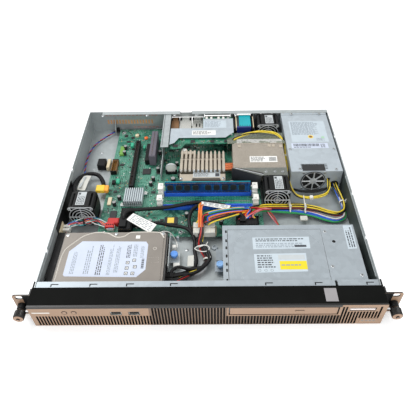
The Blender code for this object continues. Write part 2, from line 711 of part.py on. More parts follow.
def rotor(name, centre, span, hub_r, tip_r, chord):
    """A hub with slanted blades, about its own axis along Y."""
    x, z = centre
    middle = (span[0] + span[1]) / 2
    blades = []
    pitch = Matrix.Rotation(math.radians(35), 4, "Z")
    reach = tip_r - hub_r + 2
    size = Matrix.Diagonal((1.2 * MM, chord * MM, reach * MM, 1))
    for i in range(BLADES):
        turn = Matrix.Rotation(2 * math.pi * i / BLADES, 4, "Y")
        out = Matrix.Translation((0, 0, (hub_r - 2 + reach / 2) * MM))
        at = Matrix.Translation(Vector((x, middle, z)) * MM)
        blades.append(("box", at @ turn @ out @ pitch @ size))
    solid(name, "black_plastic", [rod("Y", (x, z), hub_r, span, 20)], joins=[blades], origin=(x, middle, z))


def coolers():
    """The processor cooler, the heat pipes, the remote fin block and the duct between it and its fan."""
    pocket_y = (PIPE_Y[0] - PIPE_R - 0.4, PIPE_Y[-1] + PIPE_R + 0.4)
    pocket_z = (PIPE_Z - PIPE_R - 0.4, PIPE_Z + PIPE_R + 0.4)
    fins = [box((x, x + 3.2), (251, 309), (22, 36)) for x in grid(-45, 6.98, 11)]
    solid(
        "cpu_heatsink", "cooler", [box((-45, 28), (252, 309), (13.9, 23))],
        joins=[[box((-45, 28), (238, 254), (22, 30))], fins], cuts=[[box((8, 32), pocket_y, pocket_z)]])
    solid(
        "heat_pipes", "copper", [rod("X", (PIPE_Y[1], PIPE_Z), PIPE_R, (8.5, 59.5), 16)],
        joins=[[rod("X", (y, PIPE_Z), PIPE_R, (8.7, 59.3), 16) for y in (PIPE_Y[0], PIPE_Y[2])]])
    span = (FIN_BLOCK_Y[0] - 5, FIN_BLOCK_Y[1] + 5)
    channels = [box((x, x + 3.7), span, (23.4, 36.6)) for x in grid(43.5, 7.4, 11)]
    solid(
        "remote_fin_block", "cooler", [box(FIN_BLOCK_X, FIN_BLOCK_Y, (10.5, 38))],
        cuts=[channels, [box((38, 60), pocket_y, pocket_z)]])
    back = FIN_BLOCK_Y[0] - 0.4
    roof = [(38.5, back), (84, 237.2), (126, 237.2), (126, back)]
    wall = [(38.5, back), (84, 237.2), (84, 238.4), (42, back)]
    solid(
        "air_duct", "grey_plastic", plate("air_duct", "XY", [roof], (38.4, 39.4)),
        joins=[plate("duct_wall", "XY", [wall], (12, 39)), [box((125, 126), (237.4, back - 0.2), (12, 39))]])


# Power supply


def power_supply():
    """The case with its fan opening, cable exits and rear vents, its fan and guard, and the mains inlet."""
    x, z = PSU_FAN
    inner = [(limits[0] + PSU_WALL, limits[1] - PSU_WALL) for limits in (PSU_X, PSU_Y, PSU_Z)]
    rear = (PSU_Y[1] - 5, PSU_Y[1] + 5)
    front = (PSU_Y[0] - 5, PSU_Y[0] + 5)
    solid(
        "psu_case", "galvanised", [box(PSU_X, PSU_Y, PSU_Z)],
        cuts=[
            [box(*inner)],
            [rod("Y", PSU_FAN, PSU_FAN_R, front, 28), rod("Y", HARNESS_EXIT, 6, front, 16),
             rod("Y", FAN_CABLE_EXIT, 2.6, front, 12), box((141, 171), rear, (9.5, 34.5))],
            [box((u, u + 2), rear, (8, 36)) for u in grid(176, 4, 8)],
            [box((148, 190), (v, v + 1.8), (PSU_Z[1] - 5, PSU_Z[1] + 5)) for v in grid(250, 3.6, 4)]])
    solid(
        "psu_inlet", "black_plastic", [box((141.5, 170.5), (398, DEPTH - 0.2), (10, 34))],
        cuts=[[box((144, 168), (400, DEPTH + 5), (13.5, 30.5))]])
    rotor("psu_fan_rotor", PSU_FAN, (PSU_Y[0] + 3, PSU_Y[0] + 19), 7.5, 16, 10)
    rings = [circle(PSU_FAN, PSU_FAN_R + 1.2, 28)]
    rings += ring_slots(PSU_FAN, (6, 17.6), 8, 2, 3) + ring_slots(PSU_FAN, (2.2, 4.8), 4, 0.9, 2)
    guard = plate("psu_fan_guard", "XZ", rings, (PSU_Y[0] - 1.2, PSU_Y[0] - 0.4))
    solid("psu_fan_guard", "galvanised", guard)


# Wiring


def wiring():
    """Cable assemblies, each a tube along its route with its plugs joined on."""
    exit_x, exit_z = HARNESS_EXIT
    main = [
        (exit_x, 251, exit_z), (204.5, 238, 14), (208, 216, 12.5), (210.3, 197, 10.5), (209, 184, 8.5),
        (200, 177.5, 7.4), (186, 180, 7.6), (166, 188.5, 8.4), (142, 193, 9.5), (111, 193, 11), (84, 188, 17),
        (60, 179, 26), (32, 172, 31), (8, 165, 34), (-5, 156, 35), (-6, 150, 30), (-6, 148.5, 25)]
    drives = [
        (8, 165, 34), (-3, 158, 35.5), (-8, 146, 30), (-8, 134, 17), (-7, 120, 8.5), (-4, 106, 6.8),
        (-2, 90, 6.4), (-8, 76, 6.4), (-20, 66, 6.8), (-34, 58, 8), (-50, 54, 9)]
    solid(
        "psu_harness", "cable", tube_mesh("psu_harness", main, 4, 14),
        joins=[
            tube_mesh("drive_branch", drives, 3.6, 14),
            [box((-22.5, 10.5), (143, 154), (9.2, 28)), box((-59.4, -45), (45, 63), (4.6, 13.4))]])
    exit_x, exit_z = FAN_CABLE_EXIT
    fan_lead = [
        (62, 344, 11), (65, 347, 21), (74, 352, 28.5), (88, 357, 32), (103, 358.5, 33), (117, 355, 33),
        (126.5, 345, 32), (129.3, 332, 30.5), (129.4, 310, 28), (129.4, 285, 25), (129.4, 255, 22),
        (130.3, 238, 19), (134.5, 226, 15.5), (142, 217.5, 13), (154, 214, 12.5), (170, 214, 13.5),
        (183, 217.5, 16), (190, 226, 19.5), (191.8, 238, 23), (exit_x, 249, exit_z)]
    solid("fan_power_cable", "cable", tube_mesh("fan_power_cable", fan_lead, 1.7, 8))
    data_one = [
        (52, 164, 20.1), (51, 167, 22.8), (40, 178, 22.8), (20, 192, 21.6), (-8, 198.6, 20.4),
        (-30, 197, 19.8), (-50, 192.5, 19), (-66, 189.3, 18.6), (-82, 187.5, 18.4), (-100, 186, 18.6),
        (-113, 182.5, 20.6), (-121, 175, 25), (-124.4, 167.5, 25.6), (-125, 162.6, 22.2)]
    solid("data_cable_1", "cable", tube_mesh("data_cable_1", data_one, 2.3, 9))
    data_two = [
        (-112, 158, 11.2), (-103, 154, 17), (-88, 148, 25), (-70, 147, 22), (-44, 146, 17), (-26, 140, 16),
        (-17, 128, 11), (-16, 112, 5.5), (-14, 96, 4.2), (-20, 82, 4), (-33, 73, 5), (-50, 68, 8.4)]
    solid(
        "data_cable_2", "cable", tube_mesh("data_cable_2", data_two, 1.8, 9),
        joins=[[box((-59.4, -46), (64.4, 71.4), (4.6, 13.4))]])
    loop = [
        (-200, 206.4, 34), (-206, 215, 30), (-210.5, 232, 22), (-210.5, 252, 15), (-205, 270, 11.5),
        (-194, 278.5, 10.5), (-182, 274, 11), (-173, 260, 13), (-168, 243, 15.5)]
    sensor = [
        (-168, 409, 8), (-178, 398, 6), (-192, 384, 4), (-205, 362, 3), (-211.5, 344, 3.2), (-212, 322, 4.5),
        (-210.5, 298, 7), (-205, 270, 11.5)]
    solid(
        "drive_fan_cable", "cable", tube_mesh("drive_fan_cable", loop, 3, 10),
        joins=[tube_mesh("sensor_wire", sensor, 1.2, 9), [box((-180, -159), (228, 246), (10.5, 18.5))]])
    panel = [
        (-188.4, 18, 23), (-199, 21, 20), (-208.5, 31, 14), (-211.7, 50, 9), (-211.7, 76, 7.5),
        (-211.7, 104, 7.5), (-211.5, 132, 8), (-207, 151, 9), (-196, 160, 11), (-180, 163.4, 12),
        (-164, 163.4, 14), (-150, 162, 13.5)]
    solid(
        "front_panel_cable", "cable", tube_mesh("front_panel_cable", panel, 2.1, 10),
        joins=[[box((-156, -147.6), (157, 167), (ON_BOARD, 17.5))]])


for old in list(bpy.data.objects):
    bpy.data.objects.remove(old, do_unlink=True)
parts = collection("firewall_appliance")
cutters = collection("cutters")
chassis_axes = bpy.data.objects.new("chassis_axes", None)
chassis_axes.location = (0, -ORIGIN_Y * MM, 0)
parts.objects.link(chassis_axes)

chassis_tray()
front_crossmember()
front_bezel()
bezel_shroud()
for ear_side, ear_word in ((-1, "left"), (1, "right")):
    rack_ear(ear_side, ear_word)
    thumbscrew(ear_side, ear_word)
push_button("power_button", BUTTON_X[0])
push_button("reset_button", BUTTON_X[1])
front_io_board()
hard_drive()
hdd_caddy()
release_pin("hdd_release_pin", *HDD_PIN)
optical_drive()
optical_cage()
release_pin("optical_release_pin", *CAGE_PIN)
motherboard()
memory()
board_parts()
network_card()
riser_bracket()
for fan_name, (fan_x, fan_front) in FANS.items():
    fan(fan_name, fan_x, fan_front)
coolers()
power_supply()
wiring()
for part in parts.objects:
    turned = ("rotor", "housing", "pipes", "cable", "harness", "battery")
    if part.type == "MESH" and part.name.endswith(turned):
        smooth(part)
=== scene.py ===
"""Looks of the firewall appliance.

Lengths are millimetres on the chassis axes: x from the middle to the right, y back from the
bezel's front face, z up from the underside. Shape.done() turns them into the frame's metres.
"""

import itertools
import math
import random

import bmesh
import bpy
from mathutils import Matrix, Vector


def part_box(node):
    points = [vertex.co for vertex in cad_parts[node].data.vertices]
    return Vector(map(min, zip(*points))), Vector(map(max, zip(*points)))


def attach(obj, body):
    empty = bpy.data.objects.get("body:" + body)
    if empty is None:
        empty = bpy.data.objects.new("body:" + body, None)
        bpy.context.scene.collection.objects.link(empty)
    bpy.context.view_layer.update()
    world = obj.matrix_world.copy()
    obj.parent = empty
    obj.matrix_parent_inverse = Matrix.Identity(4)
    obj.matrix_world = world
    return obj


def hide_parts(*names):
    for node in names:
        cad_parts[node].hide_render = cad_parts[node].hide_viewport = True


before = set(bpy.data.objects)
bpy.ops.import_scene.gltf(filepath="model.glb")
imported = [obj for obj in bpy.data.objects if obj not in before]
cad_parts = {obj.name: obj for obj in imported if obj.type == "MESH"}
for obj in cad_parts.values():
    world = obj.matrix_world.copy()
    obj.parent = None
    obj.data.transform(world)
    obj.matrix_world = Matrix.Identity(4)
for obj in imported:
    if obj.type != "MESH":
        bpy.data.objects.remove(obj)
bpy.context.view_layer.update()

MM = 0.001
BEZEL_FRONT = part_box("front_bezel")[0].y
TO_FRAME = Matrix.Translation((0, BEZEL_FRONT, 0)) @ Matrix.Scale(MM, 4)
SKIN = 0.06  # how far print stands off its label
LABEL = 0.08  # how thick a label is
PRINT = 0.02  # how thick a printed block is
REAR_SKIN = (411.8, 411.95)  # just inside the rear wall's outer face
FLOOR = 1.0


def extent(node):
    """A CAD node's limits along x, y and z on the chassis axes."""
    low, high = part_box(node)
    low, high = TO_FRAME.inverted() @ low, TO_FRAME.inverted() @ high
    return (low.x, high.x), (low.y, high.y), (low.z, high.z)


def middle(limits):
    return (limits[0] + limits[1]) / 2


# Materials


def rgb(red, green, blue):
    """A linear colour from an sRGB one of 0 to 255."""
    linear = [c / 3294.6 if c <= 10 else ((c / 255 + 0.055) / 1.055) ** 2.4 for c in (red, green, blue)]
    return (*linear, 1)


def scaled(colour, factor):
    return (*[min(1, c * factor) for c in colour[:3]], 1)


class Look:
    """A material's nodes."""

    def __init__(self, name, rough=0.5, metal=0.0, **sockets):
        self.material = bpy.data.materials.new(name)
        self.material.use_nodes = True
        self.tree = self.material.node_tree
        self.shader = self.tree.nodes["Principled BSDF"]
        self.shader.inputs["Metallic"].default_value = metal
        self.shader.inputs["Roughness"].default_value = rough
        for socket, value in sockets.items():
            self.shader.inputs[socket.replace("_", " ")].default_value = value
        coordinates = self.node("ShaderNodeTexCoord")
        self.place = coordinates.outputs["Object"]
        self.normal = coordinates.outputs["Normal"]

    def node(self, kind, inputs=(), **settings):
        node = self.tree.nodes.new(kind)
        for name, value in settings.items():
            setattr(node, name, value)
        for key, value in dict(inputs).items():
            if isinstance(value, bpy.types.NodeSocket):
                self.tree.links.new(value, node.inputs[key])
            else:
                node.inputs[key].default_value = value
        return node

    def feed(self, socket, value):
        self.tree.links.new(value, self.shader.inputs[socket])

    def stretched(self, scale, turn=(0, 0, 0)):
        return self.node(
            "ShaderNodeMapping", {"Vector": self.place, "Scale": scale, "Rotation": turn}).outputs[0]

    def noise(self, scale, detail=2.0, place=None):
        return self.node(
            "ShaderNodeTexNoise",
            {"Vector": place or self.place, "Scale": scale, "Detail": detail}).outputs[0]

    def cells(self, scale, output="Distance", randomness=1.0, place=None):
        return self.node(
            "ShaderNodeTexVoronoi",
            {"Vector": place or self.place, "Scale": scale, "Randomness": randomness}).outputs[output]

    def maths(self, operation, first, second=0.0):
        return self.node("ShaderNodeMath", {0: first, 1: second}, operation=operation).outputs[0]

    def between(self, value, low, high, to_low=0.0, to_high=1.0):
        return self.node("ShaderNodeMapRange", {0: value, 1: low, 2: high, 3: to_low, 4: to_high}).outputs[0]

    def mix(self, amount, first, second):
        return self.node("ShaderNodeMix", {0: amount, 6: first, 7: second}, data_type="RGBA").outputs[2]

    def part(self, vector, axis):
        return self.node("ShaderNodeSeparateXYZ", {0: vector}).outputs[axis]

    def edges(self, radius):
        """1 along the shape's edges and 0 on its faces."""
        rounded = self.node("ShaderNodeBevel", {"Radius": radius * MM}, samples=3).outputs[0]
        flat = self.node("ShaderNodeNewGeometry").outputs["Normal"]
        dot = self.node("ShaderNodeVectorMath", {0: rounded, 1: flat},
                        operation="DOT_PRODUCT").outputs["Value"]
        return self.between(dot, 0.995, 0.85)

    def relief(self, height, depth, strength=1.0):
        """A bump of that depth in millimetres."""
        bump = self.node("ShaderNodeBump", {"Strength": strength, "Distance": depth * MM, "Height": height})
        self.feed("Normal", bump.outputs[0])


def finish(name, colour, rough=0.5, metal=0.0, mottle=0.1, grain=1100, depth=0.02, wear=None, **sockets):
    """A moulded, painted or plain metal surface: broad and fine variation, bump, and edges lightened by wear.
    """
    look = Look(name, rough, metal, **sockets)
    broad = look.noise(38, 3)
    fine = look.noise(grain, 3)
    shade = look.maths("ADD", look.maths("MULTIPLY", broad, 0.6), look.maths("MULTIPLY", fine, 0.4))
    shade = look.between(shade, 0.32, 0.68)
    base = look.mix(shade, scaled(colour, 1 - mottle), scaled(colour, 1 + mottle))
    if wear:
        lighter_edges = look.maths("MULTIPLY", look.edges(0.5), look.between(look.noise(500), 0.35, 0.6))
        base = look.mix(lighter_edges, base, wear)
    look.feed("Base Color", base)
    look.feed("Roughness", look.between(fine, 0.2, 0.8, max(0.03, rough - 0.09), min(1, rough + 0.09)))
    look.relief(fine, depth)
    return look.material


def zinc_finish(name, colour, rough, metal):
    """Zinc-plated sheet: soft crystal spangle, rolling lines, faint stains and painted highlights on its
    edges.
    """
    look = Look(name, rough, metal)
    spangle = look.part(look.cells(150, "Color"), 0)
    lines = look.noise(60, 3, look.stretched((60, 1.5, 60)))
    stain = look.noise(14, 4)
    shade = look.maths("ADD", look.maths("MULTIPLY", spangle, 0.25), look.maths("MULTIPLY", stain, 0.75))
    base = look.mix(look.between(shade, 0.25, 0.75), scaled(colour, 0.88), scaled(colour, 1.08))
    base = look.mix(look.between(lines, 0.55, 0.85, 0, 0.25), base, scaled(colour, 0.8))
    # Painted highlight: every edge is lighter.
    edge = look.edges(0.5)
    base = look.mix(look.maths("MULTIPLY", edge, 0.55), base, rgb(226, 231, 233))
    look.feed("Base Color", base)
    look.feed("Roughness", look.between(shade, 0.2, 0.8, rough - 0.08, rough + 0.1))
    look.relief(look.maths("ADD", lines, look.maths("MULTIPLY", spangle, 0.4)), 0.015)
    return look.material


def front_lit_finish(name, front, rest, band=False):
    """Painted warm reflection on the faces that look forwards, and dark plastic or steel on all the others.
    """
    look = Look(name, 0.45)
    fine = look.noise(1500, 2)
    broad = look.noise(20, 2)
    # The faces that look forwards take a painted warm reflection; the surface itself is dark.
    forward = look.between(look.part(look.normal, 1), -0.75, -0.9)
    if band:
        # Places are the frame's metres. The painted reflection stops short of the face's top edge, left of
        # the light bar.
        spot = look.node("ShaderNodeNewGeometry").outputs["Position"]
        x, z = look.part(spot, 0), look.part(spot, 2)
        high = look.maths("MULTIPLY", look.between(z, 0.0385, 0.0389), look.between(x, 0.1632, 0.163))
        forward = look.maths("MULTIPLY", forward, look.maths("SUBTRACT", 1.0, high))
    # paint below is that painted warm reflection, not a coat of tan paint.
    paint = look.mix(look.between(broad, 0.3, 0.7), scaled(front, 0.93), scaled(front, 1.06))
    paint = look.mix(look.between(fine, 0.45, 0.75, 0, 0.35), paint, scaled(front, 1.35))
    if band:
        # Painted shade: the bars of the middle and right grilles are darker than the painted reflection round
        # them.
        bars = look.maths("MULTIPLY", look.between(x, -0.0712, -0.0708), look.between(z, 0.0387, 0.0385))
        bars = look.maths("MULTIPLY", bars, look.between(x, 0.1652, 0.165))
        side = look.maths("MULTIPLY", look.between(x, 0.0246, 0.025), look.between(z, 0.02, 0.0202))
        bars = look.maths("MULTIPLY", bars, look.maths("SUBTRACT", 1.0, side))
        paint = look.mix(look.maths("MULTIPLY", bars, 0.8), paint, scaled(front, 0.36))
    dark = look.mix(look.between(broad, 0.3, 0.7), scaled(rest, 0.8), scaled(rest, 1.25))
    # Painted highlight: the edges of the dark faces are lighter.
    lighter_edges = look.maths("MULTIPLY", look.edges(0.35), 0.35)
    dark = look.mix(lighter_edges, dark, rgb(120, 112, 104))
    look.feed("Base Color", look.mix(forward, dark, paint))
    look.feed("Roughness", look.between(fine, 0.2, 0.8, 0.32, 0.5))
    look.relief(fine, 0.03)
    return look.material


def board_finish(name, mask, trace, dots=True):
    """Solder mask over copper: traces, ground fill, vias and soldered pads."""
    look = Look(name, 0.35, Specular_IOR_Level=0.6)
    fill = look.between(look.noise(28, 2), 0.48, 0.52)
    base = look.mix(fill, scaled(mask, 0.66), scaled(mask, 1.25))
    base = look.mix(look.between(look.noise(160, 3), 0.5, 0.62, 0, 0.55), base, trace)
    bend = look.maths("MULTIPLY", look.noise(45, 1), 6)
    for turn, mask_scale in ((0.0, 21), (0.7854, 33), (1.5708, 26)):
        run = look.part(look.stretched((1, 1, 1), (0, 0, turn)), 0)
        run = look.maths("ADD", look.maths("MULTIPLY", run, 1900), bend)
        line = look.between(look.maths("SINE", run), 0.6, 0.85)
        here = look.between(look.noise(mask_scale, 0), 0.56, 0.6)
        base = look.mix(look.maths("MULTIPLY", line, here), base, trace)
    if dots:
        for scale, size, share, colour in (
                (380, 0.16, 0.45, rgb(150, 190, 160)), (210, 0.13, 0.3, rgb(205, 212, 205)),
                (120, 0.14, 0.22, rgb(226, 228, 222))):
            spot = look.between(look.cells(scale, "Distance"), size, size * 0.7)
            chosen = look.between(look.part(look.cells(scale, "Color"), 0), share, share - 0.02)
            base = look.mix(look.maths("MULTIPLY", spot, chosen), base, colour)
    look.feed("Base Color", base)
    look.relief(look.noise(700, 2), 0.02)
    return look.material


def paper_finish(name, colour, rough=0.6):
    """Label stock: almost even, slightly mottled, with a faint fibre bump."""
    look = Look(name, rough)
    look.feed("Base Color", look.mix(look.between(look.noise(90, 4), 0.3, 0.7), scaled(colour, 0.93), colour))
    look.relief(look.noise(1600, 2), 0.01)
    return look.material


def fin_finish(name, colour, pitch, turn):
    """Aluminium with fine ribs at an angle to the chassis, and painted shade in the grooves between them."""
    look = Look(name, 0.5, 0.45)
    run = look.part(look.stretched((1, 1, 1), (0, 0, turn)), 0)
    rib = look.maths("SINE", look.maths("MULTIPLY", run, 2 * math.pi / (pitch * MM)))
    shade = look.noise(90, 3)
    base = look.mix(look.between(shade, 0.3, 0.7), scaled(colour, 0.85), scaled(colour, 1.12))
    # Painted shade in the grooves between the ribs.
    base = look.mix(look.between(rib, -0.2, -0.9, 0, 0.5), base, scaled(colour, 0.45))
    look.feed("Base Color", base)
    look.relief(rib, 0.12)
    return look.material


def braid_finish(name, colour):
    """Wire insulation: glossy, slightly uneven along its length."""
    look = Look(name, 0.34, Coat_Weight=0.25, Coat_Roughness=0.2)
    shade = look.between(look.noise(160, 3), 0.3, 0.7)
    look.feed("Base Color", look.mix(shade, scaled(colour, 0.82), scaled(colour, 1.1)))
    look.relief(look.noise(900, 1), 0.03)
    return look.material


STEEL_EDGE = rgb(215, 218, 220)
ZINC = zinc_finish("zinc", rgb(171, 178, 179), 0.46, 0.42)
ZINC_PALE = zinc_finish("zinc_pale", rgb(162, 171, 177), 0.42, 0.42)
PSU_METAL = zinc_finish("supply_zinc", rgb(184, 194, 201), 0.42, 0.4)
WALL_SHADE = finish("wall_shade", rgb(58, 68, 66), 0.5, 0.1, mottle=0.2)
ZINC_DARK = zinc_finish("zinc_dark", rgb(100, 108, 110), 0.5, 0.5)
# Dark bezel, ears, buttons, tray and knobs, with painted warm reflection on their forward faces.
BEZEL = front_lit_finish("bezel_paint", rgb(154, 125, 101), rgb(14, 15, 15), band=True)
FRONT_LIT_EAR = front_lit_finish("ear_paint", rgb(154, 125, 101), rgb(14, 15, 15))
BLACK_PAINT = finish("black_paint", rgb(13, 14, 13), 0.72, mottle=0.25, wear=rgb(50, 49, 47),
                     Specular_IOR_Level=0.08)
FRONT_LIT_PLASTIC = front_lit_finish("tan_plastic", rgb(156, 127, 104), rgb(30, 27, 25))
KNOB = front_lit_finish("knob", rgb(158, 128, 106), rgb(12, 12, 13))
BLACK = finish("black_plastic", rgb(14, 15, 16), 0.5, mottle=0.3, wear=rgb(58, 58, 58),
               Specular_IOR_Level=0.25)
# Flat black for painted shade in holes, slots, mouths, seams, recesses and gaps, and for the front icons'
# print.
SHADE_AND_ICON_BLACK = finish("painted_shade_and_icon_black", rgb(10, 11, 12), 0.8, mottle=0.3)
CHARCOAL = finish("charcoal_plastic", rgb(46, 48, 50), 0.5, mottle=0.2, wear=rgb(96, 96, 96))
SLATE = finish("slate_plastic", rgb(96, 92, 102), 0.5, mottle=0.15)
GREY = finish("grey_plastic", rgb(150, 153, 152), 0.5, wear=rgb(215, 215, 215))
WHITE = finish("white_plastic", rgb(228, 228, 222), 0.42, mottle=0.05)
CREAM = finish("cream_plastic", rgb(214, 200, 168), 0.5, mottle=0.08)
NYLON = finish("clear_nylon", rgb(222, 222, 214), 0.35, mottle=0.06, Transmission_Weight=0.2)
BLUE = finish("blue_plastic", rgb(92, 150, 226), 0.36, mottle=0.12, wear=rgb(180, 205, 240))
SOCKET_BLUE = finish("socket_blue", rgb(36, 96, 214), 0.4, mottle=0.15, wear=rgb(120, 160, 235))
TEAL = finish("teal_plastic", rgb(0, 160, 172), 0.4, mottle=0.1)
NAVY = finish("navy_plastic", rgb(30, 42, 110), 0.42, mottle=0.15)
RED = finish("red_plastic", rgb(190, 38, 34), 0.42, mottle=0.1)
ORANGE = finish("orange_plastic", rgb(236, 112, 40), 0.45, mottle=0.1)
AMBER = finish("amber_plastic", rgb(242, 166, 60), 0.45, mottle=0.1)
YELLOW = finish("yellow_plastic", rgb(238, 200, 60), 0.45, mottle=0.08)
BROWN = finish("brown_plastic", rgb(130, 96, 64), 0.5, mottle=0.15)
PINK = finish("pink_plastic", rgb(214, 170, 164), 0.5, mottle=0.08)
DUSK = finish("mesh_pink", rgb(178, 146, 138), 0.7, mottle=0.25, grain=2500, depth=0.1)
SEA = finish("sea_green_plastic", rgb(60, 190, 150), 0.3, mottle=0.2, Transmission_Weight=0.2)
SKY = finish("clear_blue_plastic", rgb(150, 196, 248), 0.3, mottle=0.08)
GREEN = finish("green_plastic", rgb(110, 160, 70), 0.5, mottle=0.12)
RUST = finish("mesh_ochre", rgb(196, 150, 104), 0.7, mottle=0.3, grain=2500, depth=0.1)
STEEL = finish("steel", rgb(190, 194, 196), 0.32, 0.85, mottle=0.08, wear=STEEL_EDGE)
TIN = finish("tinned_metal", rgb(206, 206, 200), 0.3, 0.75, mottle=0.1)
GUARD = finish("guard_wire", rgb(196, 200, 202), 0.38, 0.35, mottle=0.08)
CHROME = finish("bright_wire", rgb(222, 226, 230), 0.22, 0.9, mottle=0.05)
BRASS = finish("brass", rgb(196, 160, 92), 0.34, 0.85, mottle=0.12)
GOLD = finish("gold_contacts", rgb(212, 176, 96), 0.3, 0.9, mottle=0.1)
COPPER = finish("copper_pipe", rgb(222, 128, 84), 0.3, 0.7, mottle=0.18, wear=rgb(245, 180, 140))
CAST = finish("cast_cover", rgb(133, 127, 120), 0.46, 0.3, mottle=0.09, wear=rgb(214, 208, 200))
# Painted highlight: the cast cover's colour lightened along its ridge, side edges and breather hole.
CAST_HIGHLIGHT = finish("cast_ridge_highlight", rgb(206, 201, 192), 0.4, 0.2, mottle=0.06)
CAST_BASE = finish("cast_base", rgb(70, 70, 70), 0.5, 0.4, mottle=0.2, wear=rgb(140, 140, 138))
COOLER = finish("cooler_aluminium", rgb(184, 174, 158), 0.42, 0.35, mottle=0.14, wear=rgb(236, 228, 216))
# Painted shade: the cooler's aluminium darkened for its recesses, and darker still for its shadows.
COOLER_SHADE = finish("cooler_recess_shade", rgb(104, 97, 84), 0.55, 0.3, mottle=0.25)
COOLER_SHADOW = finish("cooler_shadow", rgb(70, 64, 58), 0.6, 0.3, mottle=0.25)
RIBS = fin_finish("fine_ribs", rgb(158, 152, 144), 1.9, 0.62)
CHIPSET = finish("chipset_aluminium", rgb(186, 196, 200), 0.42, 0.3, mottle=0.12, wear=rgb(235, 236, 236))
DUCT = finish("duct_film", rgb(128, 132, 126), 0.3, mottle=0.15, Transmission_Weight=0.35)
FOIL = finish("foil", rgb(196, 196, 192), 0.3, 0.7, mottle=0.2, grain=300, depth=0.3)
FILM = finish("insulating_film", rgb(9, 9, 10), 0.5, mottle=0.3, grain=120, depth=0.15,
              Specular_IOR_Level=0.3)
HOOD = finish("hood_film", rgb(150, 158, 140), 0.22, mottle=0.12, grain=160, depth=0.15,
              Transmission_Weight=0.55, Alpha=0.82)
JACKET = finish("cable_jacket", rgb(13, 13, 15), 0.45, mottle=0.3, grain=700, Specular_IOR_Level=0.3)
PCB = board_finish("board_green", rgb(36, 100, 82), rgb(98, 158, 136))
PCB_CARD = board_finish("card_green", rgb(34, 108, 84), rgb(60, 136, 108))
PCB_BLUE = board_finish("module_blue", rgb(10, 50, 104), rgb(20, 84, 150), dots=False)
CHIP = finish("chip_epoxy", rgb(32, 33, 34), 0.5, mottle=0.2, wear=rgb(90, 90, 90))
CERAMIC = finish("ceramic_part", rgb(176, 150, 116), 0.5, mottle=0.15)
PAPER = paper_finish("white_label", rgb(238, 238, 234))
PAPER_GREY = paper_finish("grey_label", rgb(188, 194, 196))
PAPER_PALE = paper_finish("pale_label", rgb(190, 202, 210))
PAPER_DISK = paper_finish("disk_label", rgb(200, 209, 226))
PAPER_YELLOW = paper_finish("yellow_label", rgb(236, 206, 88))
PAPER_GREEN = paper_finish("pale_green_mark", rgb(168, 206, 176))
STICKER = paper_finish("grey_sticker", rgb(150, 147, 149))
PAPER_SUN = paper_finish("bright_yellow_patch", rgb(226, 208, 36))
INK = paper_finish("print", rgb(62, 66, 72), 0.5)
INK_PALE = paper_finish("print_pale", rgb(140, 150, 160), 0.5)
# The light bar's faint emission is a painted glow.
GLOW = finish("light_pipe", rgb(232, 220, 216), 0.3, mottle=0.03, Emission_Strength=0.06,
              Emission_Color=(1, 1, 1, 1))
WIRES = {
    name: braid_finish("wire_" + name, rgb(*colour)) for name, colour in {
        "black": (15, 15, 17), "red": (186, 34, 32), "orange": (240, 124, 40), "yellow": (240, 214, 60),
        "blue": (44, 96, 206), "green": (40, 148, 82), "white": (228, 228, 222), "pink": (222, 122, 128),
        "teal": (40, 160, 168), "grey": (140, 142, 144), "brown": (120, 74, 44)}.items()}


# Shapes


def rounded(u, v, radius, steps=4):
    """A rectangle's outline with rounded corners."""
    outline = []
    for (cu, cv), start in zip(
            ((u[1] - radius, v[1] - radius), (u[0] + radius, v[1] - radius),
             (u[0] + radius, v[0] + radius), (u[1] - radius, v[0] + radius)), (0, 90, 180, 270)):
        for i in range(steps + 1):
            angle = math.radians(start + 90 * i / steps)
            outline.append((cu + radius * math.cos(angle), cv + radius * math.sin(angle)))
    return outline


def shrunk(outline, by):
    """An outline moved inwards, for a bevelled rim. It runs anticlockwise."""
    moved = []
    for i, here in enumerate(outline):
        before, after = Vector(outline[i - 1]), Vector(outline[(i + 1) % len(outline)])
        here = Vector(here)
        first, second = (here - before).normalized(), (after - here).normalized()
        normal = Vector((-first.y - second.y, first.x + second.x))
        length = max(normal.length, 0.2)
        moved.append(here + normal / length * by * min(2 / length, 2.5))
    return moved


def smooth_route(points, step=2.0):
    """Points about a step apart on a smooth curve through the route's own points."""
    knots = [Vector(p) for p in points]
    ends = [2 * knots[0] - knots[1]] + knots + [2 * knots[-1] - knots[-2]]
    route = []
    for before, start, end, after in zip(ends, ends[1:], ends[2:], ends[3:]):
        pieces = max(1, round((end - start).length / step))
        for i in range(pieces):
            t = i / pieces
            route.append(0.5 * (
                2 * start + (end - before) * t + (2 * before - 5 * start + 4 * end - after) * t ** 2
                + (3 * start - before - 3 * end + after) * t ** 3))
    return route + [knots[-1]]


def frames(route):
    """Each point of a route with its level sideways direction and the direction square to both."""
    found = []
    side = Vector((1, 0, 0))
    for i, point in enumerate(route):
        along = (route[min(i + 1, len(route) - 1)] - route[max(i - 1, 0)]).normalized()
        level = along.cross(Vector((0, 0, 1)))
        if level.length > 0.35:
            side = (side * 0.4 + level.normalized() * 0.6 * (1 if level.dot(side) > 0 else -1)).normalized()
        side = (side - along * side.dot(along)).normalized()
        found.append((point, side, along.cross(side)))
    return found


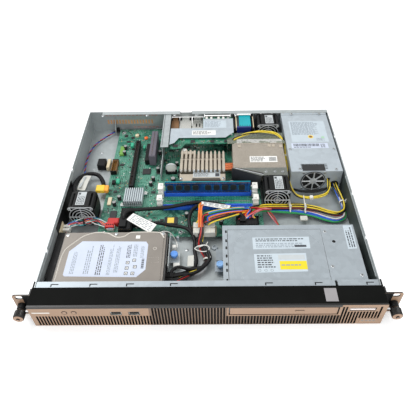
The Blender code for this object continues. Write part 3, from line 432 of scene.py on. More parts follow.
class Shape:
    """One piece of the looks, gathered as points and faces in millimetres."""

    def __init__(self, name, body="chassis"):
        self.name, self.body = name, body
        self.points, self.faces, self.finish_of, self.finishes = [], [], [], []
        self.at = Matrix.Identity(4)

    def add(self, look, points, faces):
        start = len(self.points)
        self.points += [self.at @ Vector(p) for p in points]
        self.faces += [tuple(start + i for i in face) for face in faces]
        if look not in self.finishes:
            self.finishes.append(look)
        self.finish_of += [self.finishes.index(look)] * len(faces)

    def box(self, look, x, y, z, bevel=0.2):
        """A block with bevelled edges and corners."""
        limits = [tuple(sorted(v)) for v in (x, y, z)]
        half = [(v[1] - v[0]) / 2 for v in limits]
        centre = Vector([middle(v) for v in limits])
        bevel = min(bevel, 0.4 * min(half))
        points, index = [], {}
        for corner in itertools.product((-1, 1), repeat=3):
            for axis in range(3):
                index[corner, axis] = len(points)
                points.append(centre + Vector(
                    [s * (h - (0 if i == axis else bevel)) for i, (s, h) in enumerate(zip(corner, half))]))

        def at(axis, value, pairs):
            corner = [0, 0, 0]
            corner[axis] = value
            for other, sign in pairs:
                corner[other] = sign
            return tuple(corner)

        faces = []
        for axis in range(3):
            first, second = (axis + 1) % 3, (axis + 2) % 3
            for sign in (-1, 1):
                faces.append([
                    index[at(axis, sign, ((first, a), (second, b))), axis]
                    for a, b in ((-1, -1), (1, -1), (1, 1), (-1, 1))])
            for a, b in itertools.product((-1, 1), repeat=2):
                low, high = at(axis, -1, ((first, a), (second, b))), at(axis, 1, ((first, a), (second, b)))
                faces.append([index[low, first], index[high, first], index[high, second], index[low, second]])
        corners = itertools.product((-1, 1), repeat=3)
        faces += [[index[corner, axis] for axis in range(3)] for corner in corners]
        self.add(look, points, faces)

    def slab(self, look, x, y, z):
        """A small block without bevels, for the tiny parts of a board."""
        points = [(u, v, w) for w in z for v in y for u in x]
        self.add(look, points, [(0, 2, 3, 1), (4, 5, 7, 6), (0, 1, 5, 4), (2, 6, 7, 3), (0, 4, 6, 2),
                                (1, 3, 7, 5)])

    def prism(self, look, plane, outline, span, bevel=0.2):
        """An outline in a plane, carried along the third axis, with bevelled rims."""
        area = sum(a[0] * b[1] - b[0] * a[1] for a, b in zip(outline, outline[1:] + outline[:1]))
        outline = outline if area > 0 else outline[::-1]
        bevel = min(bevel, 0.4 * abs(span[1] - span[0]))
        inner = shrunk(outline, bevel) if bevel else outline
        rings = [(inner, span[0]), (outline, span[0] + bevel), (outline, span[1] - bevel), (inner, span[1])]
        if not bevel:
            rings = rings[1:3]
        order = {"XY": (0, 1, 2), "XZ": (0, 2, 1), "YZ": (2, 0, 1)}[plane]
        points = [[(u, v, w)[axis] for axis in order] for ring, w in rings for u, v in ring]
        count, last = len(outline), len(rings) - 1
        faces = [tuple(range(count)), tuple(last * count + i for i in range(count))]
        for ring in range(last):
            for i in range(count):
                j = (i + 1) % count
                faces.append((ring * count + i, ring * count + j, (ring + 1) * count + j,
                              (ring + 1) * count + i))
        self.add(look, points, faces)

    def turned(self, look, axis, centre, profile, sides=24, ripple=0.0):
        """A profile of (radius, height) turned about an axis. A ripple cuts grooves along it."""
        points, rings, faces = [], [], []
        for radius, height in profile:
            ring = []
            for i in range(1 if radius == 0 else sides):
                angle = 2 * math.pi * i / sides
                r = radius * (1 - ripple * (i % 2))
                u, v = r * math.cos(angle), r * math.sin(angle)
                offset = {"X": (height, u, v), "Y": (u, height, v), "Z": (u, v, height)}[axis]
                ring.append(len(points))
                points.append([c + o for c, o in zip(centre, offset)])
            rings.append(ring)
        for low, high in zip(rings, rings[1:]):
            for i in range(sides):
                j = (i + 1) % sides
                corners = [low[i % len(low)], low[j % len(low)], high[j % len(high)], high[i % len(high)]]
                face = list(dict.fromkeys(corners))
                if len(face) > 2:
                    faces.append(face)
        for ring, radius in ((rings[0], profile[0][0]), (rings[-1], profile[-1][0])):
            if radius:
                faces.append(ring)
        self.add(look, points, faces)

    def rod(self, look, axis, centre, radius, span, sides=16, bevel=0.2):
        """A round bar with bevelled ends. The centre's third coordinate along the axis isn't used."""
        bevel = min(bevel, 0.4 * radius, 0.4 * (span[1] - span[0]))
        centre = list(centre)
        centre["XYZ".index(axis)] = 0
        self.turned(look, axis, centre, [
            (radius - bevel, span[0]), (radius, span[0] + bevel), (radius, span[1] - bevel),
            (radius - bevel, span[1])], sides)

    def ring(self, look, axis, centre, radius, wire, sides=40, around=6):
        """A closed hoop of wire."""
        turns = [2 * math.pi * i / around for i in range(around)]
        points, faces = [], []
        for i in range(sides):
            angle = 2 * math.pi * i / sides
            for turn in turns:
                r = radius + wire * math.cos(turn)
                u, v, w = r * math.cos(angle), r * math.sin(angle), wire * math.sin(turn)
                offset = {"X": (w, u, v), "Y": (u, w, v), "Z": (u, v, w)}[axis]
                points.append([c + o for c, o in zip(centre, offset)])
        for i in range(sides):
            for k in range(around):
                a, b = i * around, ((i + 1) % sides) * around
                faces.append((a + k, b + k, b + (k + 1) % around, a + (k + 1) % around))
        self.add(look, points, faces)

    def tube(self, look, route, radius, sides=8):
        """A round wire along points."""
        points, faces = [], []
        for point, side, up in frames(route):
            for i in range(sides):
                angle = 2 * math.pi * i / sides
                points.append(point + side * radius * math.cos(angle) + up * radius * math.sin(angle))
        for ring in range(len(route) - 1):
            for i in range(sides):
                j = (i + 1) % sides
                faces.append((ring * sides + i, ring * sides + j, (ring + 1) * sides + j,
                              (ring + 1) * sides + i))
        end = (len(route) - 1) * sides
        faces += [tuple(range(sides)), tuple(end + i for i in range(sides))]
        self.add(look, points, faces)

    def strip(self, look, rows, thickness):
        """A thin sheet through rows of points."""
        width, points, faces = len(rows[0]), [], []
        flat = [Vector(p) for row in rows for p in row]
        for layer in (0, 1):
            for i, point in enumerate(flat):
                r, c = divmod(i, width)
                across = flat[r * width + min(c + 1, width - 1)] - flat[r * width + max(c - 1, 0)]
                down = flat[min(r + 1, len(rows) - 1) * width + c] - flat[max(r - 1, 0) * width + c]
                points.append(point + across.cross(down).normalized() * thickness * layer)
        size = len(flat)
        for r in range(len(rows) - 1):
            for c in range(width - 1):
                a = r * width + c
                faces.append((a, a + 1, a + 1 + width, a + width))
                faces.append((size + a, size + a + width, size + a + 1 + width, size + a + 1))
        rim = [c for c in range(width)] + [r * width + width - 1 for r in range(1, len(rows))]
        rim += [size - 1 - c for c in range(1, width)] + [r * width for r in range(len(rows) - 2, 0, -1)]
        for a, b in zip(rim, rim[1:] + rim[:1]):
            faces.append((a, b, size + b, size + a))
        self.add(look, points, faces)

    def decal(self, look, x, y, z):
        """A patch of print lying on a level surface."""
        self.add(look, [(x[0], y[0], z), (x[1], y[0], z), (x[1], y[1], z), (x[0], y[1], z)], [(0, 1, 2, 3)])

    def print_lines(self, look, x, y, z, rows, seed, upright=False, fill=0.85):
        """Rows of short bars where a label carries print."""
        rng = random.Random(seed)
        across, down = (y, x) if upright else (x, y)
        pitch = (down[1] - down[0]) / rows
        for row in range(rows):
            place = down[0] + pitch * (row + 0.25)
            start, stop = across[0], across[0] + (across[1] - across[0]) * rng.uniform(fill - 0.2, fill)
            while start < stop:
                length = min(rng.uniform(1.4, 5.5), stop - start)
                bar, line = (start, start + length), (place, place + pitch * 0.5)
                self.decal(look, *((line, bar) if upright else (bar, line)), z)
                start += length + rng.uniform(0.7, 1.4)

    def screw(self, centre, axis="Z", radius=3.0, sign=1, look=None):
        """A pan head with a cross recess in painted shade, its underside at the centre."""
        height = radius * 0.55
        profile = [(radius, 0), (radius, height * 0.35), (radius * 0.86, height * 0.8),
                   (radius * 0.5, height)]
        profile += [(radius * 0.42, height * 0.92), (0, height * 0.7)]
        self.turned(look or STEEL, axis, centre, [(r, h * sign) for r, h in profile], 18)
        reach, width = radius * 0.5, radius * 0.12
        a = "XYZ".index(axis)
        others = [i for i in range(3) if i != a]
        for long, short in (others, others[::-1]):
            limits = [None, None, None]
            limits[a] = (centre[a] + sign * height * 0.72, centre[a] + sign * height * 1.01)
            limits[long] = (centre[long] - reach, centre[long] + reach)
            limits[short] = (centre[short] - width, centre[short] + width)
            self.slab(SHADE_AND_ICON_BLACK, *[tuple(sorted(v)) for v in limits])

    def done(self, stands_for=(), sharp=38):
        """Makes the object, in the frame's metres, riding on its body."""
        mesh = bpy.data.meshes.new(self.name)
        mesh.from_pydata([TO_FRAME @ p for p in self.points], [], self.faces)
        for look in self.finishes:
            mesh.materials.append(look)
        mesh.polygons.foreach_set("material_index", self.finish_of)
        bm = bmesh.new()
        bm.from_mesh(mesh)
        bmesh.ops.recalc_face_normals(bm, faces=bm.faces)
        bm.to_mesh(mesh)
        bm.free()
        mesh.shade_smooth()
        mesh.set_sharp_from_angle(angle=math.radians(sharp))
        obj = bpy.data.objects.new(self.name, mesh)
        bpy.context.scene.collection.objects.link(obj)
        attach(obj, self.body)
        if stands_for:
            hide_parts(*stands_for)
        return obj


def bundle(shape, route, colours, radius, twist=0.02, flat=(), fan=None, wander=0.35, seed=1):
    """Several wires along one route. flat lists (share of the length, 0 round to 1 side by side)."""
    rng = random.Random(seed)
    line = frames(smooth_route(route))
    count = len(colours)
    packing = radius * (0 if count == 1 else 1.15 if count < 4 else 0.62 * math.sqrt(count) + 0.55)
    length = 0.0
    paths = [[] for _ in colours]
    phases = [rng.uniform(0, 6.28) for _ in colours]
    flat = [(0, 0)] + list(flat) + [(1, 0)] if flat else [(0, 0), (1, 0)]
    for k, (point, side, up) in enumerate(line):
        if k:
            length += (point - line[k - 1][0]).length
        share = k / (len(line) - 1)
        amount = 0.0
        for (a, low), (b, high) in zip(flat, flat[1:]):
            if a <= share <= b and b > a:
                amount = low + (high - low) * (share - a) / (b - a)
        for i in range(count):
            inner = count > 5 and i % 3 == 0
            angle = 2 * math.pi * i / count + twist * length
            reach = packing * (0.35 if inner else 1)
            u, v = reach * math.cos(angle), reach * math.sin(angle)
            row = (i - (count - 1) / 2) * radius * 2.02
            ripple = wander * math.sin(length / 9 + phases[i])
            u = u * (1 - amount) + row * amount + ripple * (1 - amount)
            v = v * (1 - amount) + wander * amount * math.sin(length / 13 + phases[i] * 2)
            paths[i].append(point + side * u + up * v)
    if fan:
        axis, pitch, steps = fan
        for i, path in enumerate(paths):
            for k in range(steps):
                blend = ((steps - k) / steps) ** 1.5
                target = line[-1 - k][0] + Vector(axis) * (i - (count - 1) / 2) * pitch
                path[-1 - k] = path[-1 - k].lerp(target, blend)
    for path, colour in zip(paths, colours):
        shape.tube(WIRES[colour], path, radius, 7)
    return line


def cable_tie(shape, point, along, radius, tail=8.0, look=None):
    """A nylon tie round a bundle, with its lock and the end that stands out."""
    look = look or NYLON
    along = Vector(along).normalized()
    saved = shape.at
    turn = Vector((0, 0, 1)).rotation_difference(along).to_matrix().to_4x4()
    shape.at = saved @ Matrix.Translation(point) @ turn
    shape.turned(look, "Z", (0, 0, 0), [
        (radius, -1.1), (radius + 0.7, -1.1), (radius + 0.7, 1.1), (radius, 1.1), (radius, -1.1)], 20)
    shape.box(look, (radius - 0.2, radius + 2.2), (-1.7, 1.7), (-1.9, 1.9), 0.3)
    if tail:
        shape.box(look, (radius + 0.2, radius + 0.9), (1.5, 1.5 + tail), (-1.0, 1.0), 0.15)
    shape.at = saved


# Bezel, ears and front controls


def dress(node, *looks):
    """Gives a CAD node its finish. Its object stays as it is."""
    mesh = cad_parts[node].data
    mesh.materials.clear()
    for look in looks:
        mesh.materials.append(look)


def front_details():
    """Icons, light bar, plain badge and the sticker on the top panel."""
    shape = Shape("front_details")
    shape.box(WHITE, (-215, -193), (-0.2, 0.3), (28.8, 30.6), 0.1)
    for x, start in ((-174.5, 200), (-163, 20)):
        arc = [math.radians(start + 14 * k) for k in range(11)]
        shape.tube(SHADE_AND_ICON_BLACK, [Vector((x + 3.1 * math.cos(a), 0.0, 30 + 3.1 * math.sin(a))) for a in arc], 0.45, 6)
    # Painted shade in the two USB openings.
    for x in (-111.6, -89.3):
        for u in (-3.2, 3.2):
            shape.box(SHADE_AND_ICON_BLACK, (x + u - 2.5, x + u + 2.5), (1.2, 1.6), (25.4, 30), 0.1)
    # A dark sheet behind the grille, clear of the windows: painted shade for the inside seen through the
    # slots.
    for x, z in (((-216, -71), (1.1, 21.6)), ((-71, 24), (1.1, 40.6)), ((24, 171), (1.1, 20.2)),
                 ((171, 216), (1.1, 28.4))):
        shape.box(SHADE_AND_ICON_BLACK, x, (2.95, 3.3), z, 0.05)
    for side in (-1, 1):
        shape.box(BLACK, (side * 218.6, side * 228.5), (16.4, 16.95), (2.5, 42.4), 0.15)
        shape.turned(BLACK, "Y", (side * 232.55, 0, 22.2), [(4.7, 9), (5.6, 9.6), (5.9, 16), (5.2, 16.8)], 30)
    # The light bar, with a painted glow.
    shape.box(GLOW, (173.6, 204.4), (0.5, 2.2), (31, 33.6), 0.3)
    # Painted shade round the light bar.
    shape.box(SHADE_AND_ICON_BLACK, (173.2, 204.8), (2.42, 2.6), (30.6, 36.9), 0)
    shape.box(FRONT_LIT_PLASTIC, (189.4, 212), (-0.25, 0.4), (3.9, 12.1), 0.15)
    for k in range(4):
        shape.box(CAST, (192 + k * 4.6, 195.4 + k * 4.6), (-0.3, 0), (6.6, 9.2), 0.05)
    shape.box(STICKER, (144, 159), (5.5, 24.5), (42.9, 43.0), 0)
    shape.done()
    shape = Shape("shroud")
    shape.box(BLACK_PAINT, (-218, 218), (2.7, 28.4), (41.8, 42.92), 0.3)
    shape.box(BLACK_PAINT, (-218, 218), (2.7, 15.7), (0, 1.0), 0.2)
    for side in (-1, 1):
        shape.box(BLACK_PAINT, (side * 218, side * 216.4), (2.7, 38), (0.2, 42.7), 0.2)
    shape.done(["bezel_shroud"])


def thumbscrew(word):
    """A captive screw with a knurled head."""
    node = f"thumbscrew_{word}"
    limits = extent(node)
    centre = (middle(limits[0]), 0, middle(limits[2]))
    shape = Shape(f"screw_{word}", node)
    for profile, sides, ripple in (
            ([(2.2, -4.3), (5.6, -4.3), (6.3, -3.9)], 48, 0),
            ([(6.3, -3.9), (6.8, -3.2), (6.8, 6), (6.1, 6.6)], 64, 0.06),
            ([(6.1, 6.6), (4.4, 8.0), (2.4, 8.1)], 48, 0),
            ([(0, -5.9), (1.7, -5.9), (2.2, -5.4), (2.2, -4.2)], 24, 0)):
        shape.turned(KNOB, "Y", centre, profile, sides, ripple)
    thread = [(2.35 if i % 2 else 2.0, 8.1 + 0.45 * i) for i in range(39)]
    shape.turned(STEEL, "Y", centre, thread + [(1.7, 25.9), (0, 26)], 20)
    shape.done([node])


def front_io():
    """The small board behind the bezel with its two USB sockets, lamps and switches."""
    (x0, x1), (_, y1), (_, z1) = extent("front_io_board")
    top = 24.2
    shape = Shape("front_board")
    shape.prism(PCB_CARD, "XY", rounded((x0, x1), (8, y1), 1.5), (top - 1.6, top), 0.15)
    for x in (-111.6, -89.3):
        left, right = x - 6.6, x + 6.6
        for wall in ((left, left + 0.5), (right - 0.5, right)):
            shape.box(TIN, wall, (0.5, 14.5), (top, z1), 0.12)
        shape.box(TIN, (left, right), (0.5, 14.5), (top, top + 0.5), 0.12)
        shape.box(TIN, (left, right), (0.5, 14.5), (z1 - 0.5, z1), 0.12)
        shape.box(TIN, (left + 0.3, right - 0.3), (13.9, 14.5), (top + 0.3, z1 - 0.3), 0.1)
        shape.box(BLACK, (left + 1.2, right - 1.2), (3, 14), (top + 3.0, top + 4.9), 0.2)
        shape.box(BLACK, (left + 0.5, right - 0.5), (12, 13.9), (top + 0.5, z1 - 0.5), 0.2)
        for u in (-3, -1, 1, 3):
            shape.slab(GOLD, (x + u - 0.4, x + u + 0.4), (4, 12), (top + 2.85, top + 3.0))
        for u in (-4, 4):
            shape.slab(SHADE_AND_ICON_BLACK, (x + u - 1, x + u + 1), (3, 9), (z1 - 0.02, z1 + 0.03))
    for x in (-174.5, -163):
        shape.box(CHARCOAL, (x - 3, x + 3), (9, 15), (top, top + 3.4), 0.3)
        shape.rod(GREY, "Y", (x, 0, top + 1.9), 1.4, (7.3, 9.2), 12)
    shape.box(CREAM, (-185, -176), (19.5, 27), (top, top + 5), 0.4)
    rng = random.Random(11)
    for _ in range(26):
        u, v = rng.uniform(-158, -122), rng.uniform(9.5, 25)
        shape.slab(rng.choice((CERAMIC, CHIP, CHIP)), (u, u + 1.6), (v, v + 0.9), (top, top + 0.6))
    shape.done(["front_io_board"])


# Chassis


def chassis_details():
    """Rivets, screws, hems and pads on the folded steel."""
    shape = Shape("chassis_details")
    for x, y in ((-196, 300), (-196, 240), (-190, 345), (100, 226), (70, 214), (120, 160), (0, 60),
                 (-30, 120)):
        shape.turned(STEEL, "Z", (x, y, FLOOR), [(2.6, 0), (2.5, 0.4), (1.6, 0.9), (0, 1.05)], 18)
    for y in (60, 150, 290, 380):
        for side in (-1, 1):
            shape.screw((side * 216, y, 30), "X", 2.8, side)
            shape.turned(ZINC, "X", (side * 216, y, 12), [(2.2, 0), (2.0, side * 0.5), (0, side * 0.8)], 16)
    for x in (-196, -60, 30, 120, 208):
        shape.screw((x, 412.4, 4.2), "Y", 2.4, 0.01)
    for x in (-190, -110, -60, -20, 50, 150, 200):
        shape.screw((x, 400, 42.4), "Z", 2.6, 0.35)
    # The film seen through the row of upright vents.
    shape.box(RUST, (-188, -99), REAR_SKIN, (15.5, 26.5), 0)
    shape.box(DUSK, (-191, -88), REAR_SKIN, (32.5, 37.5), 0)
    shape.box(DUSK, (-142, -90), REAR_SKIN, (6.5, 11.5), 0)
    shape.box(ZINC_DARK, (-6, 40.4), REAR_SKIN, (33.5, 39), 0)
    # Side hems below the walls' open edge.
    for side in (-1, 1):
        inner = side * 215.0
        shape.box(ZINC, (inner, inner - side * 0.9), (45, 236) if side > 0 else (40, 395), (37.4, 38.2), 0.1)
    shape.box(BLACK, (-189.5, -175.5), (297, 316), (1.2, 13), 1.2)
    shape.box(CREAM, (-174, -168.4), (296, 319), (1.2, 9), 0.6)
    # A black sheet along the inside of the left wall, which also stands for the shade there.
    shape.box(FILM, (-214.8, -213.9), (134, 234), (2.5, 36), 0.2)
    shape.box(WALL_SHADE, (214.25, 214.9), (40, 243.6), (1.4, 37.2), 0.1)
    # Gusset between the rear wall and the floor, beside the board.
    outline = [(396, 1.2), (411, 1.2), (411, 30), (409, 30), (396, 14)]
    shape.prism(ZINC, "YZ", outline, (-172, -170.9), 0.15)
    for x in (-166, -87, 112):
        shape.box(ZINC_PALE, (x, x + 7), (384, 388), (1.0, 5.2), 0.3)
    shape.box(ZINC_PALE, (-96, 80), (405.2, 407.2), (8.8, 9.6), 0.15)
    shape.done()


def crossmember_details():
    """Hook slits in painted shade, and embossed marks along the strip behind the bezel."""
    shape = Shape("crossmember_details")
    # The hook slits, drawn in painted shade.
    for x in (-196, -147, -101, -46, 73, 135, 199):
        shape.box(SHADE_AND_ICON_BLACK, (x + 0.6, x + 9.4), (33.2, 34.6), (41.35, 41.45), 0.02)
        shape.box(SHADE_AND_ICON_BLACK, (x - 0.4, x + 1.1), (30.2, 34.6), (41.35, 41.45), 0.02)
    for x in (-120, -20, 60, 105):
        shape.turned(STEEL, "Z", (x, 24, 41.4), [(2.0, 0), (1.9, 0.2), (1.0, 0.4), (0, 0.4)], 16)
    shape.done()


# Drives


def hard_drive():
    """The cast cover with its stepped edge, screws, label and breather hole."""
    (x0, x1), (y0, y1), (z0, z1) = extent("hdd_cover")
    shape = Shape("drive_cover")
    step = z1 - 1.3
    shape.prism(CAST, "XY", rounded((x0, x1), (y0, y1), 5), (z0, step), 0.4)
    plateau = [
        (-197.5, 44), (-193, 37), (-66, 37), (-61, 43), (-61, 119), (-65, 126), (-72, 129.2), (-104, 129.4),
        (-110.5, 127.6), (-116, 122.6), (-122, 120.6), (-129, 121), (-136, 125.6), (-142, 128.4),
        (-157, 129.6), (-166, 127), (-175, 122.4), (-185, 111.5), (-191.5, 104), (-195.6, 96), (-197.5, 80)]
    shape.prism(CAST, "XY", plateau, (step - 0.4, z1 - 0.1), 0.7)
    # The ridge round the plateau carries a painted highlight.
    ridge = [Vector((x, y, z1 - 0.35)) for x, y in shrunk(plateau, -0.35)]
    shape.tube(CAST_HIGHLIGHT, smooth_route(ridge[4:] + ridge[:1], 2.5), 0.95, 8)
    for x, y in ((-196.5, 40), (-63, 36.2), (-130, 35.4), (-197, 126), (-62.4, 127.4), (-128.8, 127.6)):
        shape.turned(STEEL, "Z", (x, y, step - 0.2), [(2.4, 0), (2.3, 0.9), (1.3, 1.1), (1.1, 0.5),
                                                      (0, 0.5)], 18)
    label = [(-174, 113.9), (-189, 96), (-189, 57), (-187, 54.3), (-92.5, 52.3), (-81.6, 64.4), (-81.8, 107),
             (-85, 112.4)]
    top = z1 - 0.02
    shape.prism(PAPER_DISK, "XY", label, (z1 - 0.2, top), 0)
    ink = top + 0.03
    columns = ((-182, -176, 58, 96), (-164, -156, 58, 106), (-148, -140, 56, 108), (-133, -128, 56, 108),
               (-124, -118, 60, 108), (-110, -104, 84, 108), (-101, -95, 86, 108), (-91, -86, 84, 108))
    for number, (u0, u1, v0, v1) in enumerate(columns):
        look = INK if number in (2, 5) else INK_PALE
        shape.print_lines(look, (u0, u1), (v0, v1), ink, 3, number, True, 1.0)
    for number, (u, v) in enumerate(((-106.4, 76), (-106.6, 67), (-106.8, 58.4), (-98, 80), (-96, 69),
                                     (-98, 58.3))):
        shape.decal(INK, (u - 2.4, u + 2.4), (v - 2.6, v + 2.6), ink)
        shape.decal(PAPER, (u - 1.5, u + 1.5), (v - 1.7, v + 1.7), ink + 0.02)
        shape.decal(INK, (u - 0.7, u + 0.7), (v - 0.8, v + 0.8), ink + 0.04)
    for row in range(14):
        shape.decal(INK, (-88, -84.5), (66 + row * 1.2, 66.5 + row * 1.2 + 0.3 * (row % 3)), ink)
    shape.box(PAPER, (-100.2, -94.4), (118.2, 123.8), (z1 - 0.2, top), 0)
    shape.box(CAST, (-79.5, -65.5), (75.5, 84.5), (z1 - 0.2, z1 + 0.1), 0.12)
    # Painted highlight round the breather hole.
    shape.ring(CAST_HIGHLIGHT, "Z", (-72, 100, z1 - 0.1), 2.2, 0.3, 24, 5)
    shape.done(["hdd_cover"])


def hard_drive_body():
    """Connector, board edge, side screws and painted highlight lines along the drive's sides, and its sled's
    fittings.
    """
    shape = Shape("drive_fittings")
    shape.box(BLACK, (-60.1, -56.4), (45.2, 71.6), (4.4, 12), 0.3)
    for y in (62, 100, 122):
        shape.screw((-203.3, y, 10), "X", 2.4, -1)
        shape.screw((-56.1, y, 10), "X", 2.4, 1)
    # Painted highlight lines along the drive's side edges.
    shape.box(CAST_HIGHLIGHT, (-203.35, -203.1), (40, 126), (22.6, 23.3), 0.1)
    shape.box(CAST_HIGHLIGHT, (-56.25, -55.95), (78, 126), (22.6, 23.3), 0.1)
    # Insulating sheet between the drive and the left wall.
    edge = [(-204.6, 36), (-204.6, 133), (-214.4, 133), (-213.9, 120), (-212.6, 113), (-213.6, 104),
            (-213.8, 86), (-212.4, 78), (-213.7, 70), (-213.6, 44), (-212.6, 36)]
    shape.prism(FILM, "XY", edge, (24.4, 24.9), 0.1)
    shape.box(FILM, (-205.2, -204.6), (40, 131), (3.2, 24.6), 0.1)
    # Loose silver tie along the rear edge.
    twist = smooth_route([(-70, 129, 27.6), (-63, 132.6, 28.3), (-55, 131.5, 28), (-49, 126, 26.4),
                          (-44, 118, 22), (-42.6, 113, 17)], 1.5)
    shape.tube(FOIL, twist, 0.75, 6)
    shape.tube(FOIL, [p + Vector((0.6, -0.9, 0.5)) for p in twist[:16]], 0.5, 6)
    shape.box(WHITE, (-50.4, -44.6), (114.2, 119.4), (8.9, 15), 0.5)
    for x, y in ((-53.4, 143), (-44, 139.6)):
        shape.rod(ZINC_PALE, "Z", (x, y, 0), 2.2, (1.0, 8.4), 16)
        shape.rod(STEEL, "Z", (x, y, 0), 1.5, (8.2, 9.2), 12)
    shape.turned(ZINC_PALE, "Z", (10, 124, FLOOR), [(5.2, 0), (4.4, 1.2), (4.2, 2.2), (2.4, 2.4), (2.2, 1.2),
                                                    (0, 1.2)], 28)
    shape.turned(ZINC_PALE, "Z", (-30, 70, FLOOR), [(4.4, 0), (3.6, 0.9), (2.0, 1.0), (1.8, 0.3), (0, 0.3)],
                 24)
    shape.done()


def optical_drive():
    """Top skin details of the slim drive: folds, creases, labels and the shaped edge."""
    top = extent("optical_drive_case")[2][1]
    shape = Shape("drive_top_details")
    level = (top - 0.15, top + 0.12)

    def crease(points, look=ZINC_PALE, width=0.32):
        shape.tube(look, smooth_route([Vector((x, y, top + 0.02)) for x, y in points], 3), width, 6)

    crease([(34, 100.7), (43, 111), (53.3, 121.6), (60, 125.4)])
    crease([(34, 34), (34, 60), (34, 100.7)])
    crease([(131, 125.6), (134.5, 123.6), (141.6, 116), (149.4, 105.6), (154.6, 99)])
    crease([(60, 125.4), (95, 125.8), (131, 125.6)], width=0.25)
    shape.prism(PAPER_PALE, "XY", [(61.8, 91.5), (138.8, 92.4), (139.6, 113.2), (61.8, 112.4)], level, 0)
    shape.prism(PAPER_PALE, "XY", [(62.6, 52.8), (130, 54.4), (131.6, 84.6), (62.1, 83.4)], level, 0)
    ink = top + 0.16
    shape.print_lines(INK, (66, 134), (104.5, 111), ink, 2, 21, fill=1.0)
    shape.print_lines(INK_PALE, (66, 134), (94, 103), ink, 3, 22, fill=0.95)
    shape.decal(INK, (118, 134), (95, 98.5), ink + 0.02)
    shape.decal(PAPER_GREY, (94, 129), (74, 81.6), ink)
    shape.decal(PAPER_SUN, (95, 130.4), (57.6, 71.4), ink)
    shape.print_lines(INK, (66, 92), (60, 82), ink, 6, 23, fill=0.9)
    shape.print_lines(INK_PALE, (97, 127), (63, 66.6), ink + 0.03, 1, 24, fill=0.9)
    for u, v in ((68, 56.5), (76, 56.5), (84, 56.5)):
        shape.ring(INK, "Z", (u, v, ink - 0.05), 1.7, 0.16, 18, 4)
    for y in (45, 52, 119):
        shape.turned(ZINC_PALE, "Z", (45, y, top - 0.1),
                     [(1.7, 0), (1.5, 0.15), (1.3, 0.1), (1.1, -0.1), (0, -0.1)], 16)
    for x, y in ((34, 8), (60, 8), (100, 7), (140, 8)):
        shape.turned(ZINC_PALE, "Z", (x, y, top - 0.1), [(1.7, 0), (1.5, 0.2), (0.8, 0.25), (0, 0.1)], 16)
    shape.done()


def optical_cage():
    """Fold perforations, label and dimple of the drive's bracket and cover plate."""
    top = extent("optical_cage")[2][1]
    shape = Shape("cage_details")
    for y in (41, 57, 67, 80.5, 94.5, 107, 123.5):
        shape.prism(SHADE_AND_ICON_BLACK, "XY", rounded((24.6, 27.0), (y - 2.6, y + 2.6), 1.1), (top - 0.05, top + 0.03), 0)
    shape.tube(ZINC_PALE, [Vector((27.2, y, top)) for y in range(34, 134, 8)], 0.22, 5)
    shape.tube(ZINC_PALE, [Vector((x, 127.4, top)) for x in range(28, 204, 8)], 0.2, 5)
    shape.prism(PAPER_PALE, "XY", [(189, 90.7), (201.3, 91.8), (202.2, 133.6), (190, 133.4)],
                (top - 0.1, top + 0.1), 0)
    shape.print_lines(INK, (190.8, 200.4), (94, 131), top + 0.14, 3, 31, upright=True, fill=1.0)
    shape.turned(SHADE_AND_ICON_BLACK, "Z", (172.4, 104.3, top - 0.03), [(2.6, 0), (2.3, 0.06), (0, 0.06)], 20)
    shape.ring(ZINC_PALE, "Z", (172.4, 104.3, top - 0.05), 3.0, 0.35, 26, 6)
    for x, y in ((163, 122), (198, 48), (163, 62)):
        shape.screw((x, y, top), "Z", 2.5, 0.6)
    shape.done()


def release_pin(word, node):
    """A sprung pin with a dished head and a coil spring."""
    (x0, x1), (y0, y1), (z0, z1) = extent(node)
    centre = (middle((x0, x1)), middle((y0, y1)), 0)
    shape = Shape(f"{word}_pin", node)
    look = BLUE if word == "drive" else SKY
    shape.turned(look, "Z", centre, [(0, z1 - 0.7), (3.0, z1 - 0.6), (3.6, z1 - 0.05), (4.6, z1),
                                     (5.4, z1 - 0.9), (5.4, z1 - 4.2), (4.8, z1 - 5), (2.6, z1 - 5),
                                     (2.5, z0 + 1.6), (3.8, z0 + 1.4), (3.8, z0 + 0.2), (3.4, z0), (0, z0)],
                                     32)
    shape.ring(STEEL, "Z", (*centre[:2], z1 - 6.2), 3.5, 0.35, 24, 6)
    shape.done([node])


# Motherboard


BOARD_TOP = 8.6


def can(shape, x, y, z, radius, height):
    """An electrolytic capacitor: grey top with a scored cross, black sleeve and stripe."""
    shape.turned(CHIP, "Z", (x, y, z), [(radius, 0), (radius, height - 0.6), (radius - 0.4, height)], 18)
    shape.turned(GREY, "Z", (x, y, z), [(radius - 0.4, height), (radius - 0.7, height + 0.05),
                                        (0, height + 0.05)], 18)
    shape.slab(CHIP, (x - radius * 0.6, x + radius * 0.6), (y - 0.12, y + 0.12),
               (z + height, z + height + 0.1))


def header(shape, look, x, y, z, pitch=2.0, walls=True):
    """A plug socket with an open top and rows of pins."""
    if walls:
        for side in (x[0], x[1] - 0.8):
            shape.box(look, (side, side + 0.8), y, z, 0.15)
        for side in (y[0], y[1] - 0.8):
            shape.box(look, (x[0], x[1]), (side, side + 0.8), z, 0.15)
    shape.box(look, (x[0] + 0.3, x[1] - 0.3), (y[0] + 0.3, y[1] - 0.3), (z[0], z[0] + 2), 0.15)
    u = x[0] + 1.8
    while u < x[1] - 1.4:
        v = y[0] + 1.8
        while v < y[1] - 1.4:
            shape.slab(GOLD, (u - 0.3, u + 0.3), (v - 0.3, v + 0.3), (z[0] + 2, z[1] - 0.8))
            v += pitch
        u += pitch


